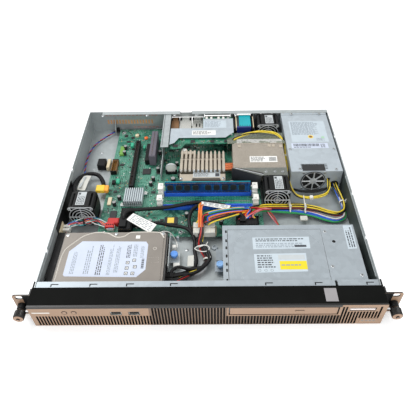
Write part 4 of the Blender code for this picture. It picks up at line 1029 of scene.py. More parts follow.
def main_board():
    """The motherboard with its soldered parts."""
    rng = random.Random(29)
    shape = Shape("main_board")
    top = BOARD_TOP
    shape.prism(PCB, "XY", rounded((-163.5, 84.0), (140.0, 404.0), 2), (7.0, top), 0.15)
    for x in (-155, -40, 76):
        for y in (148, 394):
            shape.ring(TIN, "Z", (x, y, top), 3.4, 0.25, 24, 5)
            shape.screw((x, y, top), "Z", 2.9)
    # Small parts, kept off the larger ones.
    taken = [(-72, -49, 270, 292), (-140, -95, 196, 240), (-64, 32, 232, 314), (-130, -118, 234, 360),
             (-108, -88, 298, 372), (-78, 78, 190, 234), (-24, 13, 140, 158), (-70, -6, 366, 404),
             (44, 84, 364, 404), (-66, -44, 162, 186), (-114, -94, 274, 294)]
    for _ in range(1500):
        u, v = rng.uniform(-160, 80), rng.uniform(143, 400)
        if any(a - 2 < u < b + 2 and c - 2 < v < d + 2 for a, b, c, d in taken):
            continue
        look = rng.choice((CERAMIC, CHIP, CHIP, CHIP, TIN, GREY, SEA, PCB_CARD))
        long, wide = rng.uniform(1.0, 3.0), rng.uniform(0.7, 1.8)
        if rng.random() < 0.5:
            long, wide = wide, long
        shape.slab(look, (u, u + long), (v, v + wide), (top, top + rng.uniform(0.4, 1.1)))
        if look is CHIP:
            shape.slab(TIN, (u - 0.3, u + long + 0.3), (v + wide * 0.2, v + wide * 0.8), (top, top + 0.3))
    for _ in range(80):
        u, v = rng.uniform(-158, 70), rng.uniform(145, 392)
        if any(a - 5 < u < b + 3 and c - 5 < v < d + 3 for a, b, c, d in taken):
            continue
        a, b = rng.uniform(3.5, 7), rng.uniform(3, 5.5)
        shape.box(CHIP, (u, u + a), (v, v + b), (top + 0.15, top + 1.3), 0.15)
        for k in range(int(a / 1.2)):
            w = u + 0.6 + 1.2 * k
            shape.slab(TIN, (w, w + 0.4), (v - 0.9, v + b + 0.9), (top, top + 0.25))
    for x, y, wide, deep in ((-65.5, 164, 20, 14), (-110, 277, 13.5, 13.5), (-46, 240, 13.5, 13.5),
                             (48, 236, 13.5, 13.5)):
        shape.box(CHIP, (x, x + wide), (y, y + deep), (top, top + 1.7), 0.2)
    shape.box(PAPER_YELLOW, (-61, -51), (165.5, 176.4), (top + 1.7, top + 1.75), 0)
    shape.box(CHIP, (-150, -140), (176, 192), (top, top + 2), 0.3)
    shape.box(SEA, (-150.5, -144.5), (253, 263), (top, 13.5), 0.8)
    shape.box(BLACK, (-157, -152), (252, 260), (top, 13), 0.4)
    shape.box(GREEN, (-155, -147.5), (326, 349), (top, 13), 0.5)
    shape.box(SEA, (-137.5, -132), (346, 356), (top, 15), 0.6)
    shape.box(SEA, (-115, -111), (342, 350), (top, 14), 0.6)
    shape.turned(ORANGE, "Z", (-113, 376, top), [(3.4, 0), (3.4, 2.2), (1.4, 3.0), (0, 3.0)], 20)
    shape.turned(CREAM, "Z", (-130, 383, top), [(3.6, 0), (3.6, 3), (2.0, 4.0), (0, 4.0)], 20)
    shape.box(CREAM, (-158, -152), (205, 222), (top, 10.6), 0.4)
    # Capacitors and coils by the processor and along the edges.
    for x, y, r, h in ((-57, 258, 3.9, 9), (-57, 244, 3.9, 9), (-53, 300, 3.1, 7), (38, 248, 3.9, 9),
                       (-90, 262, 3.1, 8), (-84, 285, 3.1, 8), (-93, 250, 3.1, 8), (60, 244, 3.1, 8),
                       (70, 252, 3.1, 8), (-146, 330, 3.1, 8), (-146, 345, 3.1, 8), (-104, 160, 3.1, 8),
                       (-104, 172, 3.1, 8), (-86, 166, 3.1, 8), (20, 164, 3.1, 8), (30, 184, 3.1, 8),
                       (-32, 180, 3.1, 8), (-140, 218, 3.1, 8), (-146, 205, 3.1, 8), (-84, 330, 3.1, 8)):
        can(shape, x, y, top, r, h)
    for x, y in ((-50, 284), (-50, 272), (33, 236), (24, 236), (14, 236)):
        shape.box(CHARCOAL, (x, x + 7.5), (y - 3.5, y + 3.5), (top, top + 4.4), 0.7)
    shape.rod(TIN, "Y", (-80, 0, 10.6), 1.7, (300, 309), 14)
    # The processor's carrier below its cooler.
    shape.box(WHITE, (-27, 11), (262, 300), (top, 13.4), 0.4)
    # Plug blocks along the front edge and at the left.
    header(shape, BLACK, (-131, -112), (144, 189), (top, 19.5), 3.4)
    shape.box(BLACK, (-129.5, -113.5), (146, 187.5), (19.3, 20.0), 0.3)
    header(shape, RED, (-150, -133), (161, 172), (top, 15.5), 3)
    shape.box(RED, (-149, -134), (162, 171), (13.5, 16), 0.3)
    header(shape, WHITE, (-150, -138.5), (151, 160), (top, 14), 3)
    shape.box(BLUE, (-147.5, -140.5), (152, 159), (12, 14.6), 0.3)
    header(shape, BLACK, (44, 76), (158, 172), (top, 17.6), 3.2)
    header(shape, BROWN, (-162.5, -153), (278, 307), (top, 16.6), 3)
    for v in (277.0, 307.3):
        shape.box(BLACK, (-162.8, -152.6), (v, v + 1.4), (top, 17), 0.2)
    header(shape, CREAM, (-24, 13), (140.8, 157), (top, 12.5), 4)
    shape.box(WHITE, (44, 48), (157, 161), (top, 14.5), 0.3)
    shape.box(BLACK, (46, 66), (178, 189.5), (top, 17), 0.5)
    shape.rod(WHITE, "Z", (-40, 318, 0), 3.0, (top, 27), 18)
    shape.rod(WHITE, "Z", (-40, 318, 0), 3.9, (24, 28), 18)
    for row, v in enumerate((204, 208, 212, 216, 220)):
        u = -66.0
        while u < 66:
            shape.slab(TIN if row == 2 else SEA, (u, u + 1.5), (v, v + 1.7), (top, top + 0.5))
            u += 2.6
    shape.done(["motherboard"])


def slots_and_cooler():
    """The two expansion slots, the chipset cooler and the battery in its holder."""
    shape = Shape("slot_one")
    (x0, x1), (y0, y1), (z0, z1) = extent("pcie_slot")
    shape.box(BLACK, (x0, x0 + 2.3), (y0, y1), (z0, z1), 0.25)
    shape.box(BLACK, (x1 - 2.3, x1), (y0, y1), (z0, z1), 0.25)
    shape.box(BLACK, (x0 + 0.2, x1 - 0.2), (y0, y1), (z0, 12.5), 0.2)
    for v in (y0, y0 + 24, y1 - 3.5):
        shape.box(BLACK, (x0 + 0.1, x1 - 0.1), (v, v + 3.5), (z0, z1 - 0.1), 0.25)
    shape.box(SHADE_AND_ICON_BLACK, (x0 + 0.4, x1 - 0.4), (y0 + 1, y1 - 1), (12.4, 18), 0.2)
    v = y0 + 5
    while v < y1 - 5:
        for u in (x0 + 2.35, x1 - 2.75):
            shape.slab(BROWN, (u, u + 0.4), (v, v + 0.6), (17.9, 18.4))
        v += 1.6
    shape.done(["pcie_slot"])
    shape = Shape("slot_two")
    (x0, x1), (y0, y1), (z0, z1) = extent("expansion_slot")
    shape.box(SLATE, (-99.5, -88.5), (y0, y1), (z0, z1 - 0.8), 0.5)
    for u in ((-99.2, -94.8), (-93.2, -88.8)):
        shape.box(SLATE, u, (y0 + 0.6, y1 - 0.6), (z1 - 1.2, z1), 0.4)
    v = y0 + 6
    while v < y1 - 6:
        shape.slab(BRASS, (-94.7, -94.4), (v, v + 0.7), (z1 - 1.0, z1 - 0.6))
        v += 2.0
    shape.box(BLACK, (-107.5, -99.6), (302, 348), (z0, 19), 0.4)
    for v in range(304, 346, 3):
        shape.slab(SHADE_AND_ICON_BLACK, (-106, -101.5), (v, v + 1.4), (18.9, 19.05))
    shape.done(["expansion_slot"])
    shape = Shape("chipset_cooler")
    z1 = extent("chipset_heatsink")[2][1]
    shape.box(CHIPSET, (-131, -102.3), (201, 234), (9.7, 12), 0.2)
    for i in range(9):
        u = -131 + i * 3.33
        shape.box(CHIPSET, (u, u + 1.9), (201, 234), (11.8, z1), 0.3)
        shape.box(CHIPSET, (u, u + 2.0), (201, 203.4), (11.8, z1), 0.3)
    shape.box(CHIPSET, (-130.6, -102.7), (201.4, 233.6), (12, 16), 0.3)
    for u, v in ((-134, 204.8), (-99.6, 230.2)):
        shape.turned(WHITE, "Z", (u, v, 9.7), [(2.6, 0), (2.6, 1.4), (1.6, 2.4), (0.6, 5), (0, 5)], 16)
        shape.box(CHIPSET, (u - 2.6, u + 2.6), (v - 3.2, v + 3.2), (9.7, 11.2), 0.2)
    shape.done(["chipset_heatsink"])
    shape = Shape("coin_cell")
    z0 = extent("backup_battery")[2][0]
    shape.box(BLACK, (-70, -52), (277, 285), (z0, 13), 0.4)
    for u in (-70, -54.2):
        shape.box(BLACK, (u, u + 2.2), (277, 285), (13, 17), 0.4)
    shape.turned(GUARD, "Y", (-61, 0, 19), [(0, 279.4), (9.2, 279.4), (9.5, 279.7), (9.6, 282),
                                            (9.4, 282.6)], 36)
    shape.turned(WHITE, "Y", (-61, 0, 19), [(0, 279.35), (8.2, 279.35), (8.3, 279.45)], 36)
    shape.strip(TIN, [[(-64, 284.8, 11), (-58, 284.8, 11)], [(-64, 284.2, 24), (-58, 284.2, 24)],
                      [(-63, 282.8, 27.5), (-59, 282.8, 27.5)], [(-63, 280.5, 28.2), (-59, 280.5, 28.2)]],
                      0.3)
    shape.done(["backup_battery"])


def memory_parts():
    """Sockets with their contacts, the module with nine chips, and the latches."""
    for number in (1, 2):
        (x0, x1), (y0, y1), (z0, z1) = extent(f"memory_socket_{number}")
        y = middle((y0, y1))
        shape = Shape(f"module_socket_{number}")
        for v in ((y0, y0 + 2.2), (y1 - 2.2, y1)):
            shape.box(SOCKET_BLUE, (x0, x1), v, (z0, z1), 0.25)
        shape.box(SOCKET_BLUE, (x0, x1), (y0 + 0.2, y1 - 0.2), (z0, 11.9), 0.2)
        for u in (x0, x1 - 1.6, -6):
            shape.box(SOCKET_BLUE, (u, u + 1.6), (y0 + 0.1, y1 - 0.1), (z0, z1 - 0.1), 0.2)
        u = x0 + 3
        while u < x1 - 3:
            shape.slab(TEAL if number == 1 else GOLD, (u, u + 0.8), (y0 + 0.5, y0 + 1.3), (z1 - 0.02, z1))
            shape.slab(GOLD, (u, u + 0.5), (y1 - 2.3, y1 - 2.15), (12, z1 - 1))
            u += 1.9
        shape.done([f"memory_socket_{number}"])
        for side, word in ((-1, "left"), (1, "right")):
            name = f"memory_latch_{number}_{word}"
            _, (v0, v1), (w0, w1) = extent(name)
            shape = Shape(f"latch_{number}_{word}", name)
            deep = (v0 - 6.4, v1 + 2.6) if number == 1 else (v0 - 0.4, v1 + 6.4)
            shape.box(WHITE, sorted((side * 69.6, side * 72.6)), deep, (w0, 18), 0.7)
            shape.box(WHITE, sorted((side * 69.6, side * 77.6)), deep, (w0 + 4.6, 24), 0.7)
            shape.box(WHITE, sorted((side * 70.2, side * 77.0)), (deep[0] + 0.8, deep[1] - 0.8), (23, 29),
                      0.7)
            shape.box(WHITE, sorted((side * 69.4, side * 77.8)), deep, (28.4, w1), 0.9)
            shape.box(WHITE, sorted((side * 67.8, side * 71.4)), (v0 + 0.8, v1 - 0.8), (26, 28.4), 0.4)
            for k in range(3):
                u = side * (71.4 + k * 1.3)
                shape.slab(GREY, sorted((u, u + side * 0.4)), (v0 + 0.6, v1 - 0.6), (w1 - 0.03, w1))
            shape.done([name])
    (x0, x1), (y0, y1), (z0, z1) = extent("memory_module")
    y = 226.8
    shape = Shape("memory_card")
    outline = [(x0, 12.3), (-6.2, 12.3), (-6.2, 16), (-4.2, 16), (-4.2, 12.3), (x1, 12.3), (x1, 24),
               (x1 - 1.5, 25), (x1 - 1.5, 27), (x1, 28), (x1, z1 - 0.4), (x0, z1 - 0.4), (x0, 28),
               (x0 + 1.5, 27), (x0 + 1.5, 25), (x0, 24)]
    shape.prism(PCB_BLUE, "XZ", outline, (y - 0.6, y + 0.6), 0.1)
    shape.box(TEAL, (x0 + 0.4, x1 - 0.4), (y - 0.6, y + 0.6), (z1 - 0.45, z1), 0.1)
    for i in range(9):
        u = x0 + 3.2 + i * 13.2 + (6.5 if i > 3 else 0)
        shape.prism(CHIP, "XZ", rounded((u, u + 9.6), (20, 31.4), 3.2), (y0 + 0.02, y - 0.5), 0.25)
        for k in range(4):
            shape.slab(TEAL, (u - 0.9, u - 0.4), (y - 0.8, y - 0.55), (21 + k * 2.4, 22.2 + k * 2.4))
        shape.turned(CHARCOAL, "Y", (u + 2, 0, 30), [(0.7, y0 + 0.01), (0.6, y0)], 10)
    u = x0 + 2
    while u < x1 - 2:
        shape.slab(GOLD, (u, u + 1.0), (y - 0.66, y - 0.6), (12.5, 16))
        shape.slab(CERAMIC, (u, u + 0.9), (y - 0.9, y - 0.6), (34.4, 35.4))
        u += 1.9
    shape.done(["memory_module"])


def rear_sockets():
    """The jack stack, the serial and video stack, and the riser bracket beside them."""
    (x0, x1), (_, rear), (z0, _) = extent("rear_port_stack")
    shape = Shape("jack_stack")
    shape.box(TIN, (x0, x1), (374, rear), (z0, 10.6), 0.2)
    for x, look, holes in (
            ((-66.5, -52.5), BROWN, [((-64, -55), (13, 27))]),
            ((-51.5, -30), TIN, [((-47, -34.5), (19.5, 28)), ((-47.3, -34.2), (12, 17.6))]),
            ((-28.5, -9.5), TIN, [((-25.4, -12.6), (13, 27))])):
        shape.box(look, x, (372, rear - 11), (10.2, 30), 0.3)
        shape.box(look, x, (rear - 11, rear), (28.4, 30), 0.2)
        shape.box(look, x, (rear - 11, rear), (10.2, 11.6), 0.2)
        low = min(u[0] for u, _ in holes)
        high = max(u[1] for u, _ in holes)
        shape.box(look, (x[0], low), (rear - 11, rear), (10.2, 30), 0.2)
        shape.box(look, (high, x[1]), (rear - 11, rear), (10.2, 30), 0.2)
        for u, w in holes:
            shape.box(SHADE_AND_ICON_BLACK, u, (rear - 11.4, rear - 10.9), w, 0)
            shape.box(BLACK, (u[0] + 2, u[1] - 2), (rear - 10.9, rear - 2),
                      (middle(w) - 1.2, middle(w) + 1.2), 0.2)
            for k in range(4):
                v = u[0] + 2.4 + k * 2
                shape.slab(GOLD, (v, v + 0.7), (rear - 10.5, rear - 3), (middle(w) + 1.2, middle(w) + 1.4))
    shape.box(TIN, (-47, -34), (rear - 11, rear), (17.6, 19.5), 0.2)
    shape.box(BRASS, (-64.8, -54.4), (373, 398), (29.4, 29.95), 0.1)
    shape.box(WHITE, (-49.8, -45.5), (375, 396), (29.6, 29.98), 0.1)
    shape.box(PINK, (-44.5, -37), (375, 396), (29.6, 29.98), 0.1)
    shape.box(WHITE, (-35.5, -31.8), (375, 396), (29.6, 29.98), 0.1)
    shape.box(CERAMIC, (-27, -11), (374, 399), (29.6, 29.98), 0.1)
    for u in (-22, -16):
        shape.slab(SHADE_AND_ICON_BLACK, (u, u + 2), (380, 390), (29.95, 30.0))
    shape.done(["rear_port_stack"])
    (x0, x1), (_, y1), (z0, z1) = extent("serial_video_stack")
    shape = Shape("video_stack")
    for u in ((x0, x0 + 3.4), (x1 - 3.6, x1)):
        shape.box(BLACK, u, (366, y1), (z0, z1 - 1.4), 0.4)
    for u in ((49.5, 51.3), (79.8, 81.4)):
        shape.box(CREAM, u, (368, 402), (30, z1 - 1.3), 0.3)
    shape.box(TEAL, (55.5, 76.2), (370.5, 404.8), (24, z1 - 0.1), 0.6)
    shape.box(NAVY, (50.8, 76.2), (367.4, 371), (22.5, z1 - 0.2), 0.5)
    shape.box(CHARCOAL, (51.2, 55.6), (371, 404.8), (23, z1 - 1.2), 0.4)
    shape.box(BLACK, (51.2, 75.8), (370.5, 404.8), (z0 + 1, 20.3), 0.4)
    shape.box(BLACK, (x0 + 3.2, x1 - 3.6), (405, y1 - 5), (z0, 34.4), 0.3)
    for w in ((11.9, 20.1), (25.4, 33.6)):
        shape.prism(TIN, "XZ", [(53.4, w[0]), (73.6, w[0]), (73.6, w[1]), (53.4, w[1])],
                    (y1 - 5.0, y1 - 4.4), 0.1)
        for row in range(2):
            for k in range(5):
                shape.rod(SHADE_AND_ICON_BLACK, "Y", (57 + k * 3.2 + row, 0, w[0] + 2.6 + row * 2.8), 0.6,
                          (y1 - 5.2, y1 - 4.3), 8)
        for u in ((50.5, 53.2), (73.8, 77.5)):
            shape.box(TIN, u, (y1 - 5, y1), w, 0.3)
        for z in ((w[0] - 1.9, w[0] - 0.1), (w[1] + 0.1, w[1] + 0.9)):
            shape.box(TIN, (50.5, 77.5), (y1 - 5, y1), z, 0.2)
    for u in range(57, 76, 4):
        shape.slab(SHADE_AND_ICON_BLACK, (u, u + 1.1), (372, 374), (z1 - 0.12, z1 - 0.02))
    shape.done(["serial_video_stack"])
    _, (_, y1), (_, z1) = extent("riser_bracket")
    shape = Shape("riser")
    shape.box(ZINC, (-77.6, -76.4), (262, y1), (9.2, 24), 0.2)
    shape.box(ZINC, (-77.6, -76.4), (312, y1), (20, z1), 0.2)
    shape.box(ZINC, (-79.5, -66.5), (310, y1), (z1 - 1.2, z1), 0.3)
    for v in (322, 345, 368, 392):
        shape.turned(STEEL, "Z", (-72, v, z1 - 0.45), [(2.0, 0), (1.9, 0.2), (1.0, 0.42), (0, 0.42)], 16)
    for v in range(270, 305, 8):
        shape.box(SHADE_AND_ICON_BLACK, (-77.7, -77.5), (v, v + 4), (12, 20), 0)
    shape.done(["riser_bracket"])


def card():
    """The low card: its board, cover plate on posts, labels and two network sockets."""
    y1 = extent("network_card")[1][1]
    cover_top = 38.0
    outline = [(-64, 314), (-46, 314), (-38, 327), (34, 327), (44.8, 346), (44.8, 404), (-9, 404), (-9, 364),
               (-64, 364)]
    cover = [(-65.5, 320), (-57, 325), (-50, 338.5), (30, 338.5), (44.8, 353), (44.8, 394), (-8.5, 394),
             (-8.5, 365.5), (-65.5, 365.5)]
    shape = Shape("card")
    shape.prism(PCB_CARD, "XY", outline, (32.4, 34.0), 0.15)
    shape.prism(PSU_METAL, "XY", cover, (37.0, cover_top), 0.2)
    for x, y in ((-52, 346), (25, 345), (38, 385), (0, 385)):
        shape.rod(BRASS, "Z", (x, y, 0), 2.4, (34, 37), 6)
        shape.turned(STEEL, "Z", (x, y, 37.55), [(2.2, 0), (2.2, 0.25), (1.4, 0.44), (0, 0.3)], 16)
    shape.turned(SHADE_AND_ICON_BLACK, "Z", (29, 358.7, 37.98), [(2.6, 0), (2.5, 0.01), (0, 0.01)], 24)
    shape.ring(STEEL, "Z", (29, 358.7, 37.9), 2.7, 0.1, 24, 5)
    shape.box(PAPER_PALE, (-8, 32), (366, 388), (cover_top, cover_top + SKIN), 0)
    shape.print_lines(INK_PALE, (-6, 30), (368, 386), cover_top + 2 * SKIN, 7, 3)
    shape.box(PAPER, (-27.5, 13.5), (345.5, 358.5), (cover_top, cover_top + SKIN), 0)
    shape.print_lines(INK, (-26, 12), (347, 357), cover_top + 2 * SKIN, 4, 4)
    rng = random.Random(5)
    for _ in range(60):
        u, v = rng.uniform(-60, 40), rng.uniform(316, 337)
        if v < 327.5 and u > -47:
            continue
        look = rng.choice((CERAMIC, CHIP, TIN, GREY))
        shape.slab(look, (u, u + rng.uniform(1, 2.6)), (v, v + rng.uniform(0.8, 1.6)), (34, 34.8))
    for u, v, a, b in ((-60, 317, 9, 7), (-30, 328.5, 8, 7), (4, 329, 7, 6), (28, 330, 4, 6)):
        shape.box(CHIP, (u, u + a), (v, v + b), (34, 35.2), 0.2)
    for u in (41.2, 37.6):
        shape.rod(GREY, "Z", (u, 352 - (u - 37.6), 0), 1.4, (34, 36.8), 12)
    for wall in ((-6, 0), (12.4, 21), (33.4, 40)):
        shape.box(TIN, wall, (386, y1), (18.4, 32.4), 0.3)
    for x in (0, 21):
        span = (x - 0.3, x + 12.7)
        shape.box(TIN, span, (386, 396), (18.4, 32.4), 0.2)
        shape.box(TIN, span, (386, y1), (29, 32.4), 0.2)
        shape.box(TIN, span, (386, y1), (18.4, 20.6), 0.2)
        shape.box(SHADE_AND_ICON_BLACK, (x, x + 12.4), (395.9, 396.1), (20.6, 29), 0)
        for k in range(8):
            u = x + 1.8 + k * 1.1
            shape.slab(GOLD, (u, u + 0.5), (396.4, 407), (27.6, 28.0))
    for x, look in ((-4.5, WHITE), (4, WHITE), (17, WHITE), (25.5, WHITE), (34, GREY)):
        shape.box(look, (x, x + 4.2), (395, 403), (34.05, 36.4), 0.3)
    shape.done(["network_card"])


# Cooling


FAN_BORE = 18.9
GUARD_CORNER = 23.2  # from a fan's middle to its guard's eyes


def square_ring(shape, look, x, z, half, bore, y, corner=3.0, sides=64):
    """A square frame with rounded corners round a round bore, across the Y axis."""
    points, faces = [], []
    for depth in y:
        for reach in (None, bore):
            for i in range(sides):
                angle = 2 * math.pi * (i + 0.5) / sides
                u, v = math.cos(angle), math.sin(angle)
                if reach is None:
                    scale = (half - 0.3 * corner * min(abs(u), abs(v)) ** 3 * 4) / max(abs(u), abs(v))
                else:
                    scale = reach
                points.append((x + u * scale, depth, z + v * scale))
    for i in range(sides):
        j = (i + 1) % sides
        for a, b in ((0, 1), (1, 3), (3, 2), (2, 0)):
            faces.append((a * sides + i, a * sides + j, b * sides + j, b * sides + i))
    shape.add(look, points, faces)


def fan_pieces(name, label, seed):
    """A boxed fan: flanged frame, struts, turning rotor and the wire guard held by its corners."""
    (x0, x1), (y0, y1), (z0, z1) = extent(name + "_housing")
    x, z, half = middle((x0, x1)), middle((z0, z1)), (x1 - x0) / 2
    shape = Shape(name + "_frame")
    square_ring(shape, BLACK, x, z, half, FAN_BORE, (y0, y0 + 3.6))
    square_ring(shape, BLACK, x, z, half, FAN_BORE, (y1 - 3.6, y1))
    shape.turned(BLACK, "Y", (x, 0, z), [
        (FAN_BORE, y0 + 1), (19.7, y0 + 1), (19.7, y1 - 1), (FAN_BORE, y1 - 1), (FAN_BORE, y0 + 1)], 64)
    for side in (-1, 1):
        shape.box(BLACK, (x + side * half, x + side * (half - 1.4)), (y0 + 3, y1 - 3), (z - 10, z + 10), 0.3)
        shape.box(BLACK, (x - 12, x + 12), (y0 + 3, y1 - 3),
                  (z + side * (half - 0.02), z + side * (half - 1.4)), 0.3)
        for v in (-1, 1):
            shape.rod(BLACK, "Y", (x + side * 16.2, 0, z + v * 16.2), 2.9, (y0 + 2, y1 - 2), 16)
            for face in ((y0 - 0.02, y0 + 0.3), (y1 - 0.3, y1 + 0.02)):
                shape.rod(SHADE_AND_ICON_BLACK, "Y", (x + side * 16.4, 0, z + v * 16.4), 1.7, face, 14)
    for k in range(4):
        angle = math.radians(28 + 90 * k)
        u, v = math.cos(angle), math.sin(angle)
        shape.tube(BLACK, [Vector((x + u * 7, y1 - 1.8, z + v * 7)),
                           Vector((x + u * 19.2, y1 - 1.8, z + v * 19.2))], 1.1, 8)
    shape.rod(BLACK, "Y", (x, 0, z), 9, (y1 - 5, y1 - 0.6), 28)
    if label:
        u, v, look = label
        shape.box(look, u, v, (z + half - 0.02, z + half), 0)
        inner_u, inner_v = (u[0] + 1, u[1] - 1), (v[0] + 1.5, v[1] - 1.5)
        shape.print_lines(INK, inner_u, inner_v, z + half + SKIN, 5, seed, upright=True)
        shape.box(INK, (u[0] + 1, u[0] + 4.5), (v[1] - 6, v[1] - 1.6), (z + half, z + half + 0.02), 0)
    shape.done([name + "_housing"])

    rotor = Shape(name + "_impeller", name + "_rotor")
    front = y0 + 2.5
    rotor.turned(CHARCOAL, "Y", (x, 0, z), [(0, front + 0.3), (5.8, front + 0.3), (6.4, front),
                                            (8.0, front + 0.3), (8.6, front + 1.2), (8.6, y0 + 25.6),
                                            (8.2, y0 + 26), (0, y0 + 26)], 36)
    rotor.turned(PAPER_GREY, "Y", (x, 0, z), [(0, front + 0.2), (5.4, front + 0.2), (5.5, front + 0.32)], 30)
    for k in range(7):
        rows = []
        for r in (8.2, 10.5, 13, 15.5, 17):
            row = []
            for t in range(6):
                share = t / 5
                angle = 2 * math.pi * k / 7 + (share - 0.5) * (1.05 - 0.02 * r) + 0.012 * (r - 8) * share
                depth = y0 + 5 + share * 17 + 2.0 * math.sin(share * math.pi) * (r - 8) / 9
                row.append((x + r * math.sin(angle), depth, z + r * math.cos(angle)))
            rows.append(row)
        rotor.strip(CHARCOAL, rows, 0.9)
    rotor.done([name + "_rotor"])

    guard = Shape(name + "_wires")
    (g0, g1) = extent(name + "_guard")[1]
    level = middle((g0, g1))
    for radius in (5.0, 9.6, 14.2, 18.6):
        guard.ring(GUARD, "Y", (x, level, z), radius, 0.72, 44, 7)
    for k in range(4):
        angle = math.radians(90 * k)
        u, v = math.cos(angle), math.sin(angle)
        guard.tube(GUARD, [Vector((x + u * r, level - 0.1, z + v * r)) for r in (1.2, 10, 19.4)], 0.8, 7)
        u, v = math.cos(angle + math.pi / 4), math.sin(angle + math.pi / 4)
        guard.tube(GUARD, [Vector((x + u * r, level, z + v * r)) for r in (18.4, 21, 23.4)], 0.75, 7)
        guard.ring(GUARD, "Y", (x + u * GUARD_CORNER, level, z + v * GUARD_CORNER), 1.9, 0.6, 18, 6)
        guard.screw((x + u * GUARD_CORNER, level + 0.4, z + v * GUARD_CORNER), "Y", 2.4, -0.4)
    guard.box(GUARD, (x - 17, x + 17), (g0, g1), (z + 18.8, z + 19.8), 0.2)
    guard.rod(GUARD, "Y", (x, 0, z), 2.2, (g0, g1), 20)
    guard.done([name + "_guard"])


def processor_cooler():
    """The processor's finned block with its label lip, pipes and retaining posts."""
    (x0, x1), (y0, y1), (z0, z1) = extent("cpu_heatsink")
    rng = random.Random(77)
    shape = Shape("processor_cooler")
    shape.box(COOLER, (x0, x1), (252, y1), (z0, 17), 0.4)
    # Painted shadow below the fins.
    shape.box(COOLER_SHADOW, (x0 + 0.4, x1 - 21), (253, y1 - 0.5), (16.9, 22.4), 0.2)
    shape.box(COOLER, (x0, x0 + 2), (252, y1 - 1), (16.9, 27), 0.3)
    for y in (253, 271.5, 292.7):
        shape.box(COOLER, (x1 - 21, x1), (y, y + 4), (16.9, 22.6), 0.3)
    # Front lip, cut away in the middle where it stays dark with painted shadow.
    shape.prism(COOLER, "XY", [(x0, 254), (x0, 241), (x0 + 6, y0), (x0 + 19, y0), (x0 + 21, 244.8),
                               (x1 - 9, 244.8), (x1 - 6, y0), (x1 - 2, y0), (x1, 241), (x1, 254)],
                               (22.6, 29.4), 0.4)
    shape.prism(COOLER_SHADOW, "XY", [(-23, 239), (18, 239), (14, 245), (-19, 245)], (22.8, 24.5), 0.2)
    shape.box(PAPER_GREY, (-23.5, 20), (245.8, 257), (29.4, 29.6), 0)
    shape.print_lines(INK, (-22, 10), (247.4, 255.6), 29.6 + SKIN, 3, 8)
    shape.box(INK, (12, 18.6), (247.4, 255), (29.6, 29.62), 0)
    count = 11
    pitch = (x1 - x0 - 4.6) / (count - 1)
    # Painted shade on the block behind and between the fins.
    shape.box(COOLER_SHADE, (x0 + 0.5, x1 - 0.5), (257.6, 276), (22, 31.5), 0.3)
    shape.box(COOLER_SHADE, (x0 + 0.5, 8), (275.6, 303), (22, 30.5), 0.3)
    shape.box(COOLER_SHADE, (8, x1 - 0.5), (275.6, 303), (23, 30.5), 0.3)
    for i in range(count):
        u = x0 + i * pitch
        shape.box(COOLER, (u, u + 4.6), (257.8, 285), (29, z1), 0.6)
        shape.box(CHROME, (u + 0.5, u + 4.1), (256.9, 257.9), (30, z1 - 0.8), 0.3)
        end = y1 - rng.uniform(0, 2.6)
        shape.box(COOLER, (u + 0.6, u + 4.2), (286, end - (5 if i > 3 else 0)), (23, z1 - 0.5), 0.5)
        if i > 3:
            shape.box(COOLER, (u + 1.4, u + 3.4), (end - 5.4, end), (23, z1 - 2.5), 0.5)
        if i < count - 1:
            shape.box(COOLER, (u - 0.2, u + pitch), (285, 286.4), (29, z1 - 2), 0.3)
    shape.box(COOLER, (x0, x0 + 22), (300, 306), (23, 34.4), 0.6)
    for x, y in ((x0 + 3, y0 + 4.6), (x1 - 3.4, y0 + 5)):
        shape.screw((x, y, 29.4), "Z", 2.6)
    shape.done(["cpu_heatsink"])
    shape = Shape("pipes")
    for y in (278.0, 283.6, 289.2):
        shape.turned(COPPER, "X", (0, y, 18.5), [
            (0, 8.8), (1.6, 8.8), (2.7, 10.2), (2.9, 12), (2.9, 57), (2.6, 58.6), (1.5, 59.2), (0, 59.2)], 22)
    shape.done(["heat_pipes"])


